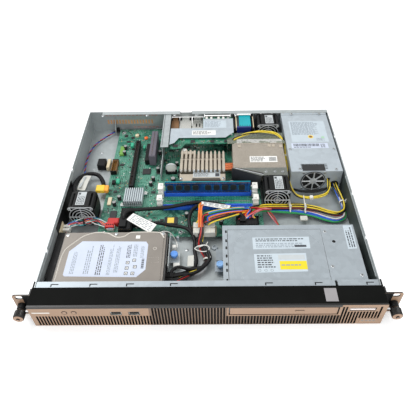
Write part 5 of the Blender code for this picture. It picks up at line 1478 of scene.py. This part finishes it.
def fin_block():
    """The remote block of thin ribs, with its label, tabs, foil and the duct in front of it."""
    (x0, x1), (y0, y1), (z0, z1) = extent("remote_fin_block")
    shape = Shape("rib_block")
    shape.box(COOLER, (x0, x1), (y0, y1), (z0, 13), 0.3)
    shape.box(RIBS, (x0, x1), (y0, y1), (z1 - 1.3, z1 - 0.3), 0.2)
    u = x0
    while u < x1 - 0.7:
        shape.slab(COOLER, (u, u + 0.6), (y0 + 0.4, y1 - 0.4), (12.5, z1 - 1.0))
        u += 2.1
    turn = math.radians(-35.5)
    # Slanted ribs across the top plate.
    step = 2.5
    along = Vector((math.cos(turn), math.sin(turn)))
    across = Vector((-along.y, along.x))
    for i in range(-44, 44):
        origin = Vector((middle((x0, x1)), middle((y0, y1)))) + across * i * step
        ends = []
        for axis, limits in ((0, (x0 + 0.6, x1 - 0.6)), (1, (y0 + 0.6, y1 - 0.6))):
            for limit in limits:
                t = (limit - origin[axis]) / along[axis]
                point = origin + along * t
                if x0 + 0.5 <= point.x <= x1 - 0.5 and y0 + 0.5 <= point.y <= y1 - 0.5:
                    ends.append(point)
        if len(ends) < 2 or (ends[0] - ends[1]).length < 3:
            continue
        a, b = ends[0], ends[1]
        side = across * 0.42
        points = [(p.x, p.y, w) for w in (z1 - 0.4, z1) for p in (a - side, b - side, b + side, a + side)]
        points = [(min(max(p[0], x0), x1), min(max(p[1], y0), y1), p[2]) for p in points]
        shape.add(COOLER, points, [(0, 1, 2, 3), (4, 5, 6, 7), (0, 1, 5, 4), (1, 2, 6, 5), (2, 3, 7, 6),
                                   (3, 0, 4, 7)])
    shape.box(PAPER, (68.4, 112.9), (271.5, 286.5), (z1, z1 + LABEL), 0)
    shape.print_lines(INK, (70, 98), (273, 285.4), z1 + LABEL + SKIN, 4, 21)
    for k in range(14):
        shape.box(INK, (99.6 + k * 0.85, 100.1 + k * 0.85), (274, 284), (z1 + LABEL, z1 + LABEL + PRINT), 0)
    for x, y in ((53, 313), (103, 314), (110, 314), (122, 312)):
        shape.box(COOLER, (x - 2.6, x + 2.6), (y - 3.4, y + 3.4), (z1 - 0.3, z1 + 0.9), 0.4)
    shape.done(["remote_fin_block"])

    shape = Shape("duct")
    back = y0 - 0.4
    shape.prism(DUCT, "XY", [(38.5, back), (84, 237.4), (125.9, 237.4), (125.9, back)], (38.4, 39.3), 0.2)
    shape.prism(CHARCOAL, "XY", [(38.5, back), (84, 237.2), (84, 238.4), (42, back)], (12, 38.6), 0.2)
    shape.box(DUCT, (125, 126), (237.4, back - 0.2), (12, 38.6), 0.2)
    rail = [(41, 255.2), (84.5, 239.2)]
    # The rail, with a painted shadow line beside it.
    for shift, look in ((0, CHROME), (3.0, COOLER_SHADOW)):
        shape.tube(look, [Vector((rail[0][0] + 3, rail[0][1] + shift * 0.4, 39.6 + 0.2)),
                          Vector((rail[1][0] + 3, rail[1][1] + shift, 39.8))], 0.7, 8)
    shape.box(DUCT, (86, 124.5), (238, 240), (39.3, 40.2), 0.3)
    for x in (92, 106, 118):
        shape.screw((x, 246, 39.3), "Z", 2.3)
    shape.done(["air_duct"])

    shape = Shape("duct_hood")
    rows = []
    for k in range(9):
        t = k / 8
        y = y1 + 0.6 + t * (360 - y1 - 0.6)
        z = 37.3 - 7.2 * t ** 1.4 + 0.5 * math.sin(t * 9)
        rows.append([])
        for c in range(11):
            rows[-1].append((33 + 97 * c / 10, y + 0.4 * math.sin(c * 1.3), z + 0.35 * math.sin(c * 2.1 + k)))
    shape.strip(HOOD, rows, 0.35)
    for side in (33, 129.6):
        shape.box(HOOD, (side, side + 0.4), (y1 + 1, 352), (16, 32), 0.1)
    shape.box(FOIL, (49, 126), (y1 + 0.4, 333), (37.2, 37.7), 0.1)
    shape.box(COOLER, (45, 126), (y1 + 0.2, y1 + 1.4), (30, 38.4), 0.3)
    shape.done()


# Power supply


def power_supply():
    """Labels, vents, seams and screws on the case, the inlet and the fan behind its guard."""
    (x0, x1), (y0, y1), (z0, z1) = extent("psu_case")
    shape = Shape("supply_details")
    top = z1
    shape.box(PAPER_PALE, (142, 204), (319.5, 378.7), (top, top + LABEL), 0)
    shape.print_lines(INK_PALE, (145, 201), (339, 376), top + LABEL + SKIN, 13, 41)
    shape.print_lines(INK_PALE, (184, 201), (322, 330), top + LABEL + SKIN, 4, 42)
    for u in (146, 172):
        shape.box(INK_PALE, (u, u + 0.5), (339, 376), (top + LABEL, top + LABEL + PRINT), 0)
    shape.turned(PAPER_YELLOW, "Z", (175, 333.5, top), [(4.6, 0.05), (4.6, 0.16), (0, 0.16)], 26)
    shape.turned(BROWN, "Z", (175, 333.5, top), [(2.9, 0.1), (2.9, 0.22), (0, 0.22)], 9)
    shape.turned(PAPER_GREEN, "Z", (195.4, 331.6, top), [(3.2, 0.05), (3.2, 0.16), (0, 0.16)], 6)
    shape.box(PAPER_DISK, (139.7, 200.5), (302.6, 316), (top, top + LABEL), 0)
    rng = random.Random(9)
    u = 143.0
    while u < 186:
        width = rng.choice((0.4, 0.6, 1.0))
        shape.box(INK, (u, u + width), (307.5, 314.3), (top + LABEL, top + LABEL + PRINT), 0)
        u += width + rng.choice((0.4, 0.7))
    shape.print_lines(INK, (143, 186), (303.6, 306.6), top + LABEL + SKIN, 1, 43)
    shape.print_lines(INK, (188, 199), (304, 314), top + LABEL + SKIN, 4, 44)
    shape.box(CHIP, (149.5, 185.5), (245.6, 260.4), (top, top + 0.25), 0.1)
    for x, y in ((145.7, 250), (202.6, 248.8), (136, 300), (208, 300), (136, 404), (208, 404), (190, 404)):
        shape.screw((x, y, top), "Z", 2.5)
    shape.box(SHADE_AND_ICON_BLACK, (x0 + 0.4, x1 - 0.4), (398.2, 398.6), (top, top + 0.03), 0)
    shape.box(PSU_METAL, (x0, x1), (398.7, y1), (top, top + 0.5), 0.2)
    for y in (263, 292, 318, 350, 385):
        shape.box(ZINC, (x1 - 0.2, x1), (y, y + 6), (30, 38), 0.1)
    x, z = 168.0, 21.2
    for k in range(8):
        angle = math.radians(45 * k)
        u, v = math.cos(angle), math.sin(angle)
        shape.tube(GUARD, [Vector((x + u * r, y0 - 1.4, z + v * r)) for r in (4.6, 18.4)], 1.0, 6)
    shape.ring(CHARCOAL, "Y", (x, y0 - 0.9, z), 18.9, 0.8, 44, 7)
    # Painted shade inside the fan opening, behind the guard.
    shape.turned(SHADE_AND_ICON_BLACK, "Y", (x, 0, z), [(18.2, y0 + 0.3), (18.1, y0 + 0.4), (18.1, y0 + 22), (0, y0 + 22)],
                 40)
    shape.turned(GUARD, "Y", (x, 0, z), [(0, y0 - 2.0), (3.4, y0 - 1.9), (5.4, y0 - 1.2), (5.5, y0 - 0.4)],
                 30)
    for k in range(8):
        angle = math.radians(45 * k)
        u, v = x + 6.4 * math.cos(angle), z + 6.4 * math.sin(angle)
        shape.rod(GUARD, "Y", (u, 0, v), 1.3, (y0 - 1.7, y0 - 0.5), 8)
    for u, v in ((-16.5, 16.5), (16.5, 16.5), (-16.5, -16.5), (16.5, -16.5)):
        shape.screw((x + u, y0 - 0.2, z + v), "Y", 2.2, -0.6)
    shape.turned(SHADE_AND_ICON_BLACK, "Y", (203, 0, 14), [(6.6, y0 - 0.6), (6.9, y0 - 0.2), (6.6, y0 + 0.4)], 28)
    shape.ring(BLACK, "Y", (203, y0 - 0.1, 14), 6.0, 0.7, 28, 6)
    shape.ring(BLACK, "Y", (192, y0 - 0.1, 24), 2.6, 0.5, 22, 6)
    shape.done()

    (x0, x1), (y0, y1), (z0, z1) = extent("psu_inlet")
    shape = Shape("inlet")
    for u in ((x0, x0 + 2.5), (x1 - 2.5, x1)):
        shape.box(BLACK, u, (y0, y1), (z0, z1), 0.4)
    for w in ((z0, z0 + 3.5), (z1 - 3.5, z1)):
        shape.box(BLACK, (x0, x1), (y0, y1), w, 0.4)
    shape.box(BLACK, (x0 + 1, x1 - 1), (y0, y0 + 2.2), (z0 + 1, z1 - 1), 0.2)
    for u, w in ((149, 18.6), (163, 18.6), (156, 25)):
        shape.box(TIN, (u - 1, u + 1), (y0 + 2, y1 - 2.5), (w - 2, w + 2), 0.3)
    shape.done(["psu_inlet"])
    shape = Shape("supply_impeller", "psu_fan_rotor")
    (x0, x1), (y0, y1), (z0, z1) = extent("psu_fan_rotor")
    shape.turned(BLACK, "Y", (x, 0, z), [
        (0, y0), (6.2, y0), (7.2, y0 + 0.5), (7.5, y0 + 1.4), (7.5, y1 - 0.4), (7.1, y1), (0, y1)], 32)
    for k in range(7):
        rows = []
        for r in (7.2, 9.5, 12, 14, 16):
            rows.append([(
                x + r * math.sin(2 * math.pi * k / 7 + (t / 4 - 0.5) * 0.75), y0 + 2 + t / 4 * (y1 - y0 - 4),
                z + r * math.cos(2 * math.pi * k / 7 + (t / 4 - 0.5) * 0.75)) for t in range(5)])
        shape.strip(BLACK, rows, 0.8)
    shape.done(["psu_fan_rotor"])


# Wiring


def plug(shape, look, x, y, z, count=0):
    """A crimp housing: a stepped block with a mouth in painted shade for each of its wires that shows."""
    shape.box(look, x, y, z, 0.5)
    shape.box(look, (x[0] - 0.25, x[1] + 0.25), (y[0] - 0.25, y[1] + 0.25),
              (z[0], z[0] + (z[1] - z[0]) * 0.3), 0.3)
    for k in range(count):
        pitch = (x[1] - x[0] - 1) / count
        u, v = x[0] + 0.5 + pitch * (k + 0.5), middle(y)
        shape.slab(SHADE_AND_ICON_BLACK, (u - pitch * 0.32, u + pitch * 0.32), (v - 1.2, v + 1.2), (z[1] - 0.02, z[1] + 0.02))


def flag(shape, look, corners, lines, seed, thick=0.25):
    """A folded label round a wire, given by its four corners in order."""
    a, b, c, d = [Vector(p) for p in corners]
    rows = []
    for k in range(6):
        t = k / 5
        lift = Vector((0, 0, 0.5 * math.sin(t * math.pi)))
        rows.append([a.lerp(d, t).lerp(b.lerp(c, t), s / 7) + lift for s in range(8)])
    shape.strip(look, rows, thick)
    rng = random.Random(seed)
    for k in range(lines):
        t = (k + 1) / (lines + 1)
        start, stop = a.lerp(d, t), b.lerp(c, t)
        s = 0.08
        while s < 0.9:
            e = min(0.92, s + rng.uniform(0.08, 0.2))
            lift = Vector((0, 0, 0.5 * math.sin(t * math.pi) + thick + 0.12))
            p, q = start.lerp(stop, s) + lift, start.lerp(stop, e) + lift
            side = (d - a).normalized() * 0.45
            shape.add(INK_PALE, [p - side, q - side, q + side, p + side], [(0, 1, 2, 3)])
            s = e + rng.uniform(0.03, 0.07)


def supply_harness():
    """The supply's bundle, flattened and tied, to the board plug and to the drives."""
    shape = Shape("supply_harness")
    main = ["black", "yellow", "black", "yellow", "black", "red", "black"]
    route = [(203, 245.5, 14.5), (204.4, 236, 14.6), (207.4, 216, 14), (209.4, 200, 12.4), (207.8, 188, 10.6),
             (198, 182, 9.6), (184, 185, 9.8), (166, 192.4, 10.4), (142, 196.6, 11.4), (112, 195, 13),
             (86, 189.5, 18.5), (64, 181.4, 25)]
    bundle(shape, route, main, 1.15, twist=0.012, flat=[(0.3, 0.1), (0.5, 0.7), (0.85, 0.8)],
           wander=0.5, seed=3)
    outer = [(202, 245.5, 12.5), (203.4, 234, 11), (206.6, 214, 10), (208.8, 192, 8), (206.4, 178, 6.6),
             (194, 171.6, 6), (180, 175.4, 6.2), (163, 183, 7), (141, 188, 8.6), (112, 189.6, 10.6),
             (86, 185, 16), (66, 178.4, 22)]
    bundle(shape, outer, ["pink", "white", "blue", "blue", "green", "green"], 1.1, twist=0.012,
           flat=[(0.3, 0.1), (0.5, 0.85), (0.85, 0.8)], wander=0.5, seed=4)
    for start, stop in (((126, 184, 12), (124.6, 214, 15)), ((149, 183, 11), (150, 217, 15))):
        start, stop = Vector(start), Vector(stop)
        shape.tube(WHITE, [start, start.lerp(stop, 0.5) + Vector((0, 0, 1.5)), stop], 0.8, 7)
    arch = [(200, 245.4, 13), (190, 237, 11), (172, 233, 9), (152, 234, 8), (138, 240, 7)]
    bundle(shape, arch, ["black", "black", "black"], 1.0, twist=0.02, flat=[(0.3, 0.8), (0.9, 0.8)],
           wander=0.4, seed=12)
    for at, along in (((126, 192.6, 11.2), (-30, 0.4, 1.6)), ((149, 191, 10), (-24, 4.2, 1))):
        cable_tie(shape, at, along, 4.9, 9)
    cable_tie(shape, (208.4, 205, 11.8), (2, -18, -1.4), 4.0, 5, WHITE)
    shape.box(NYLON, (140, 151), (170, 179), (6, 9.5), 0.5)
    # Plugs on the board: a small black one and the tall pale one.
    lead = [(62, 179.4, 24.5), (40, 174.5, 28.4), (16, 167, 31), (0, 160, 31.6), (-4.5, 154, 29.5),
            (-5, 150, 26.5)]
    bundle(shape, lead, ["yellow", "blue", "green", "black", "blue", "orange"], 1.0,
           twist=0.01, flat=[(0.1, 0.6), (0.6, 0.9), (0.95, 1)], fan=((1, 0, 0), 4.6, 7), wander=0.35, seed=5)
    back = [(62, 179.4, 23), (44, 170, 25.5), (24, 160, 28), (10, 153, 29.5), (0, 149, 27.5), (-6, 147, 25.4)]
    bundle(shape, back, ["red", "black", "black", "yellow"], 1.0, twist=0.02,
           flat=[(0.3, 0.5), (0.9, 1)], fan=((1, 0, 0), 5, 6), wander=0.35, seed=6)
    plug(shape, NYLON, (-21, 10.8), (136, 146), (11.5, 21))
    plug(shape, NYLON, (-21, 10.8), (146.4, 156), (11.5, 22))
    for u in range(-20, 10, 4):
        shape.slab(CREAM, (u + 0.4, u + 0.8), (136.5, 145), (21 - 0.1, 21.06))
    rise = [(-9.6, 186, 28), (-10.4, 176, 33), (-10.6, 165, 35), (-10.2, 152, 33), (-9.6, 142, 26)]
    bundle(shape, rise, ["orange", "orange", "yellow", "orange"], 1.4, twist=0.04, wander=0.4, seed=17)
    sweep = [(96, 187, 17), (84, 181, 22), (70, 173, 23.6), (57, 164, 20)]
    bundle(shape, sweep, ["red", "pink", "red", "white", "blue", "red", "black", "pink"], 0.75,
           twist=0.03, fan=((1, 0.1, 0), 3.2, 6), wander=1.1, seed=18)
    spill = [(90, 187, 15), (97, 173, 13), (106, 159, 9), (116, 148, 6)]
    bundle(shape, spill, ["red", "pink", "black", "green"], 0.8, twist=0.06, wander=1.2, seed=20)
    fan_out = [(66, 181, 22), (64, 177, 22.4), (61, 172, 21.4), (60, 166, 18.6)]
    bundle(shape, fan_out, ["red", "orange", "blue", "black", "black", "yellow"], 1.0, twist=0,
           flat=[(0.2, 0.5), (0.7, 1)], fan=((1, 0, 0), 4.2, 5), wander=0.3, seed=8)
    shape.box(BLACK, (42, 74), (153.5, 171), (12.8, 18.6), 0.7)
    shape.box(BLACK, (46, 70), (171, 179.6), (13.4, 17.6), 0.5)
    for k in range(7):
        u = 45 + k * 4.1
        shape.slab(SHADE_AND_ICON_BLACK, (u, u + 2.2), (156, 160), (18.5, 18.63))
        shape.slab(SHADE_AND_ICON_BLACK, (u, u + 2.2), (163.5, 167.5), (18.5, 18.63))
    # Branch to the drives.
    branch = [(0, 163, 30.5), (-6, 157, 31.8), (-7.5, 147, 30), (-8.8, 136, 20), (-10.6, 124, 12),
              (-7.5, 113.6, 9.4), (-2.6, 104, 8.8), (-0.8, 93.6, 8.6), (-9, 81.6, 8), (-24, 72, 7.6),
              (-38, 62, 8), (-45, 57, 9), (-50.6, 56, 9.6)]
    bundle(shape, branch, ["black", "red", "black", "red", "black", "yellow", "red", "black"], 1.1,
           twist=0.04, fan=((0.2, 1, 0), 2.2, 6), wander=0.6, seed=11)
    for route in ([(-4, 116, 13), (2.6, 104, 12.4), (3, 94, 11.6), (-6, 83, 11), (-24, 79, 11),
                   (-40, 82, 11.6), (-48, 76, 12), (-50, 66, 11.4)],
                   [(-12, 140, 19), (-10, 126, 14), (-4, 112, 12), (1, 98, 11), (-3, 87, 10), (-18, 74, 9.6),
                    (-36, 70, 10), (-48, 67, 10.4)]):
        shape.tube(JACKET, smooth_route(route), 2.3, 12)
    shape.box(BLACK, (-59.2, -45.4), (45.4, 62.8), (4.8, 13.2), 0.6)
    shape.box(BLACK, (-57, -47), (62, 66), (6, 12), 0.5)
    for k in range(5):
        shape.slab(SHADE_AND_ICON_BLACK, (-57 + k * 2.2, -55.8 + k * 2.2), (58, 62.9), (13.15, 13.25))
    cable_tie(shape, (-8.4, 118, 10.8), (3, -10, -2.6), 4.3, 11, WHITE)
    loop = [Vector((-8 + 10.5 * math.cos(a / 10), 112 + 5.2 * math.sin(a / 10), 15 + 1.5 * math.sin(a / 6)))
            for a in range(-30, 32, 3)]
    shape.tube(WHITE, loop, 0.7, 7)
    cable_tie(shape, (-1.2, 97, 8.2), (0.5, -10, -0.6), 4.3, 6)
    shape.box(WHITE, (-48, -38.6), (84.5, 98.6), (2.2, 8.4), 0.6)
    scrap = []
    for k in range(9):
        scrap.append([(-28, 86 + 2.4 * k, 8 + 1.3 * math.sin(k * 0.6)), (-19.4, 85.5 + 2.4 * k, 8.6)])
    shape.strip(NYLON, scrap, 0.3)
    flag(shape, PAPER, [(-9.4, 196.4, 24.5), (34.7, 186.2, 25.5), (31, 175.3, 27.5), (-9.3, 186.8, 26.5)], 4,
         61)
    shape.done(["psu_harness"])


def fan_lead():
    """The two fans' wires, over the hood, down beside the duct and into the supply."""
    shape = Shape("fan_lead")
    route = [(60, 344.5, 12), (50, 341, 24), (44, 334, 35), (52, 338, 38), (66, 346, 38.6),
             (84, 351.5, 38.4), (102, 352, 38.4), (117, 347, 38), (127, 337, 36.4), (129.2, 327, 33.4),
             (129.3, 310, 28), (129.3, 285, 25), (129.3, 255, 22), (130.3, 238, 19), (134.5, 226, 15.6),
             (142, 217.6, 13.2), (154, 214.2, 12.7), (170, 214.2, 13.7), (183, 217.7, 16.2),
             (189.8, 226, 19.6), (191.6, 238, 23), (192, 246, 24)]
    bundle(shape, route, ["yellow", "black", "yellow", "yellow"], 0.85, twist=0.07, wander=0.3,
           seed=15)
    for at, along in (((129.3, 300, 26.8), (0, -20, -2.4)), ((162, 214.2, 13.1), (10, 0, 0.6))):
        cable_tie(shape, at, along, 1.9, 6, WHITE)
    shape.box(WHITE, (58.6, 65.4), (338.6, 344.6), (9.4, 14), 0.4)
    shape.box(WHITE, (159, 165), (210.6, 217), (10.4, 16.6), 1.2)
    # Painted shade where the lead passes the hood.
    shape.box(SHADE_AND_ICON_BLACK, (121, 133), (338, 341.4), (33, 34.4), 0.4)
    shape.done(["fan_power_cable"])


def data_cables():
    """Thick black signal cables with moulded plugs and folded labels."""
    shape = Shape("signal_cable_1")
    one = [(52, 165, 20.4), (51, 168, 22.8), (40, 178.4, 22.8), (20, 192, 21.6), (-8, 198.4, 20.4),
           (-30, 196.8, 19.8), (-50, 192.4, 19), (-66, 189.3, 18.8), (-82, 187.5, 18.8), (-100, 186, 19),
           (-113, 182.5, 20.8), (-121, 175, 24.6), (-124, 168, 24.8), (-124.6, 163.4, 22.4)]
    shape.tube(JACKET, smooth_route(one), 2.9, 12)
    shape.box(BLACK, (47.4, 56.4), (157.5, 168), (18.7, 22.4), 0.6)
    shape.box(BLACK, (-130.2, -119.8), (148, 166), (20.2, 23.4), 0.6)
    shape.done(["data_cable_1"])
    shape = Shape("signal_cable_2")
    two = [(-112.6, 158, 12), (-103, 154.6, 17), (-90, 153, 22), (-74, 157, 19.8), (-56, 153.8, 18),
           (-34, 149, 17.6), (-24, 141, 16.4), (-19, 129, 12), (-18.4, 113, 7), (-16, 97, 5),
           (-20, 84.4, 4.8), (-33, 76, 5.6), (-49.6, 70, 8.6)]
    shape.tube(JACKET, smooth_route(two), 2.7, 12)
    arm = [(-2, 197.4, 20.4), (-12, 194, 19.6), (-23, 185, 18.4), (-27.6, 170, 17.6), (-26.6, 154, 17),
           (-22.4, 140, 15.5), (-19, 129, 12.4)]
    shape.tube(JACKET, smooth_route(arm), 2.8, 12)
    shape.box(BLACK, (-59.2, -46.2), (64.6, 71.2), (4.8, 13.2), 0.5)
    shape.box(BLACK, (-56, -44), (67, 74), (6, 11), 0.5)
    flag(shape, PAPER, [(-110.3, 170.8, 26.6), (-74, 149.3, 24.6), (-82.2, 132.1, 25.6),
                        (-118.6, 157.3, 27.4)], 5, 62)
    shape.done(["data_cable_2"])


def drive_fan_lead():
    """The drive fan's sleeve, looped to its plug, and the twisted sensor wires from the rear wall."""
    shape = Shape("drive_fan_lead")
    loop = [(-200, 206.6, 33.5), (-206, 215, 31), (-210, 232, 27), (-210, 252, 21), (-205, 268, 15.6),
            (-194, 276.5, 12), (-182, 272, 12.2), (-173, 258, 13.6), (-168.6, 245, 15)]
    line = smooth_route(loop, 1.2)
    shape.tube(JACKET, line, 3.3, 14)
    for k in range(4, len(line) - 3, 3):
        along = line[k + 1] - line[k - 1]
        saved = shape.at
        turn = Vector((0, 0, 1)).rotation_difference(along).to_matrix().to_4x4()
        shape.at = Matrix.Translation(line[k]) @ turn
        shape.ring(JACKET, "Z", (0, 0, 0), 3.35, 0.16, 18, 4)
        shape.at = saved
    bundle(shape, [Vector((-168.6, 246, 15)), Vector((-168.8, 243, 15.4)), Vector((-169, 240.6, 15.4))],
           ["yellow", "black", "red"], 0.7, flat=[(0.1, 1), (0.9, 1)], wander=0.1, seed=19)
    shape.box(YELLOW, (-179.4, -165.6), (230, 244), (10.8, 17.4), 0.9)
    shape.box(AMBER, (-165.8, -159.4), (230.3, 243.7), (10.8, 17.0), 0.9)
    shape.strip(NYLON, [[(-203 + 3.0 * c, 262 + 0.3 * c, 20 + 0.7 * math.sin(c)) for c in range(5)],
                        [(-204.5 + 3.2 * c, 244 + 0.2 * c, 24 + 0.8 * math.sin(c + 1)) for c in range(5)],
                        [(-206 + 3.2 * c, 225.2 - 0.3 * c, 24 + 0.7 * math.sin(c + 2)) for c in range(5)]],
                        0.3)
    shape.strip(PAPER_GREY, [[(-201 + 1.2 * c, 258, 22 + 0.5 * c) for c in range(4)],
                             [(-204 + 1.4 * c, 228, 26 + 0.4 * c) for c in range(4)]], 0.3)
    sensor = [(-169, 408, 6), (-176, 400, 6), (-192, 382, 5.4), (-204, 364, 5), (-210.6, 342, 5),
              (-211.4, 322, 5.4), (-210.6, 302, 7), (-207.6, 284, 9.6), (-204, 271, 12.4)]
    bundle(shape, sensor, ["red", "blue", "black"], 0.7, twist=0.35, wander=0.1, seed=23)
    shape.box(CREAM, (-189, -181), (300, 311), (2.3, 7.2), 0.5)
    shape.box(BLACK, (-173, -166), (404.5, 410), (3, 10), 0.4)
    shape.done(["drive_fan_cable"])


def panel_lead():
    """The front panel's ribbon along the wall, under a black sheet, to the board."""
    shape = Shape("panel_lead")
    route = [(-188.4, 19, 23), (-199, 21.4, 20), (-208.3, 31, 14), (-211.2, 50, 9.6), (-211.2, 76, 8.4),
             (-211.2, 104, 8.6), (-211, 130, 9.6), (-208.6, 146, 12.5)]
    bundle(shape, route, ["black", "red", "white", "blue", "grey", "green"], 0.62, twist=0.03,
           wander=0.25, seed=31)
    ribbon = [(-207.6, 151, 15), (-205, 156.4, 17), (-196, 159.6, 18), (-187, 161.4, 18), (-174, 166, 17.6),
              (-163, 164, 17), (-156, 159.6, 16.4), (-151, 157.4, 15.6)]
    line = frames(smooth_route(ribbon, 1.5))
    for i, colour in enumerate(("white", "teal", "blue", "red", "orange", "pink", "black", "red", "teal",
                                "white")):
        offset = (i - 4.5) * 1.0
        path = []
        for k, (p, s, u) in enumerate(line):
            swell = math.sin(math.pi * k / (len(line) - 1))
            sideways = offset + 2.2 * swell * math.sin(i * 2.1 + k / 4)
            path.append(p + s * sideways + u * 1.6 * swell * math.sin(i + k / 3))
        shape.tube(WIRES[colour], path, 0.62, 7)
    plug(shape, WHITE, (-213, -203.4), (146, 157.4), (9, 17.6), 4)
    plug(shape, RED, (-152, -139), (152.4, 162), (13, 17), 4)
    cable_tie(shape, (-184, 162, 18), (10, 3, 0), 4.2, 0, BLACK)
    shape.box(CREAM, (-214.8, -212.9), (136, 158.4), (10, 24), 0.5)
    rows = []
    for k in range(12):
        v = 56 + k * 7.2
        wave = 0.6 * math.sin(k * 0.9)
        rows.append([(-214.2 + 0.1 * k, v, 25.2 + wave), (-211.4 + wave, v, 24.6),
                     (-208.4 + 0.35 * k * (k < 5), v, 24.4), (-205.2 + wave, v + 0.6, 23.6)])
    shape.strip(FILM, rows, 0.4)
    shape.strip(FILM, [[(-205.2, r[3][1], 23.6), (-205.0, r[3][1], 12)] for r in rows], 0.3)
    shape.done(["front_panel_cable"])


def dress_nodes():
    """Finishes of the CAD nodes that show as they are."""
    looks = {"chassis_tray": ZINC, "front_crossmember": ZINC_PALE, "front_bezel": BEZEL,
             "rack_ear_left": FRONT_LIT_EAR, "rack_ear_right": FRONT_LIT_EAR, "power_button": FRONT_LIT_PLASTIC,
             "reset_button": FRONT_LIT_PLASTIC, "hdd_base": CAST_BASE, "hdd_caddy": ZINC,
             "optical_drive_case": ZINC_PALE, "optical_cage": ZINC_PALE, "optical_tray": FRONT_LIT_PLASTIC,
             "optical_eject_button": FRONT_LIT_PLASTIC, "optical_spindle": BLACK, "psu_case": PSU_METAL,
             "psu_fan_guard": GUARD}
    for node, look in looks.items():
        dress(node, look)


# Stage


CAMERA_AT = Vector((10.25, -299.32, 518.31))
CAMERA_ANGLES = 0.802364, -0.014143, -0.019059  # down, heading and roll in radians
FOCAL_SHARE = 458.8 / 420  # the focal length over the width of the view
SENSOR = 36.0


def camera():
    """The camera of the reference view."""
    down, heading, roll = CAMERA_ANGLES
    forward = Vector((
        math.sin(heading) * math.cos(down), math.cos(heading) * math.cos(down), -math.sin(down)))
    level = Vector((math.cos(heading), -math.sin(heading), 0))
    above = level.cross(forward)
    right = level * math.cos(roll) + above * math.sin(roll)
    up = above * math.cos(roll) - level * math.sin(roll)
    data = bpy.data.cameras.new("camera")
    data.sensor_width = SENSOR
    data.lens = FOCAL_SHARE * SENSOR
    data.clip_start, data.clip_end = 0.01, 50
    place = TO_FRAME @ CAMERA_AT
    obj = bpy.data.objects.new("camera", data)
    obj.matrix_world = Matrix((
        (right.x, up.x, -forward.x, place.x), (right.y, up.y, -forward.y, place.y),
        (right.z, up.z, -forward.z, place.z), (0, 0, 0, 1)))
    bpy.context.scene.collection.objects.link(obj)
    bpy.context.scene.camera = obj


def area_light(name, place, size, power, aim=(0, 0, 0)):
    data = bpy.data.lights.new(name, "AREA")
    data.shape, data.size, data.energy = "DISK", size, power
    obj = bpy.data.objects.new(name, data)
    obj.location = place
    obj.rotation_euler = (Vector(aim) - Vector(place)).to_track_quat("-Z", "Y").to_euler()
    bpy.context.scene.collection.objects.link(obj)


def studio():
    """A pale floor, an even sky and soft lamps."""
    mesh = bpy.data.meshes.new("floor")
    mesh.from_pydata([(-4, -4, 0), (4, -4, 0), (4, 4, 0), (-4, 4, 0)], [], [(0, 1, 2, 3)])
    floor = bpy.data.objects.new("floor", mesh)
    floor.location.z = -0.0005
    mesh.materials.append(finish("floor_paint", rgb(246, 246, 246), 0.9, mottle=0.01, grain=60, depth=0.0,
                                Emission_Color=(1, 1, 1, 1), Emission_Strength=0.3))
    bpy.context.scene.collection.objects.link(floor)
    world = bpy.data.worlds.new("studio")
    world.use_nodes = True
    sky = world.node_tree.nodes["Background"]
    sky.inputs[0].default_value = (1, 1, 1, 1)
    sky.inputs[1].default_value = 0.85
    bpy.context.scene.world = world
    bpy.context.scene.view_settings.view_transform = "Standard"
    area_light("key", (-0.9, 0.5, 1.5), 0.9, 16)
    area_light("front", (0.5, -1.1, 0.9), 0.8, 6)


thumbscrew("left")
thumbscrew("right")
front_details()
front_io()
chassis_details()
crossmember_details()
hard_drive()
hard_drive_body()
optical_drive()
optical_cage()
release_pin("drive", "hdd_release_pin")
release_pin("cage", "optical_release_pin")
main_board()
slots_and_cooler()
memory_parts()
rear_sockets()
card()
fan_pieces("system_fan", ((102.5, 115.5), (205, 234), PAPER_GREY), 51)
fan_pieces("exhaust_fan", ((102, 116), (373.5, 398.7), PAPER_GREY), 52)
fan_pieces("drive_fan", ((-195, -182), (175, 202.4), PAPER_GREY), 53)
processor_cooler()
fin_block()
power_supply()
supply_harness()
fan_lead()
data_cables()
drive_fan_lead()
panel_lead()
dress_nodes()
camera()
studio()
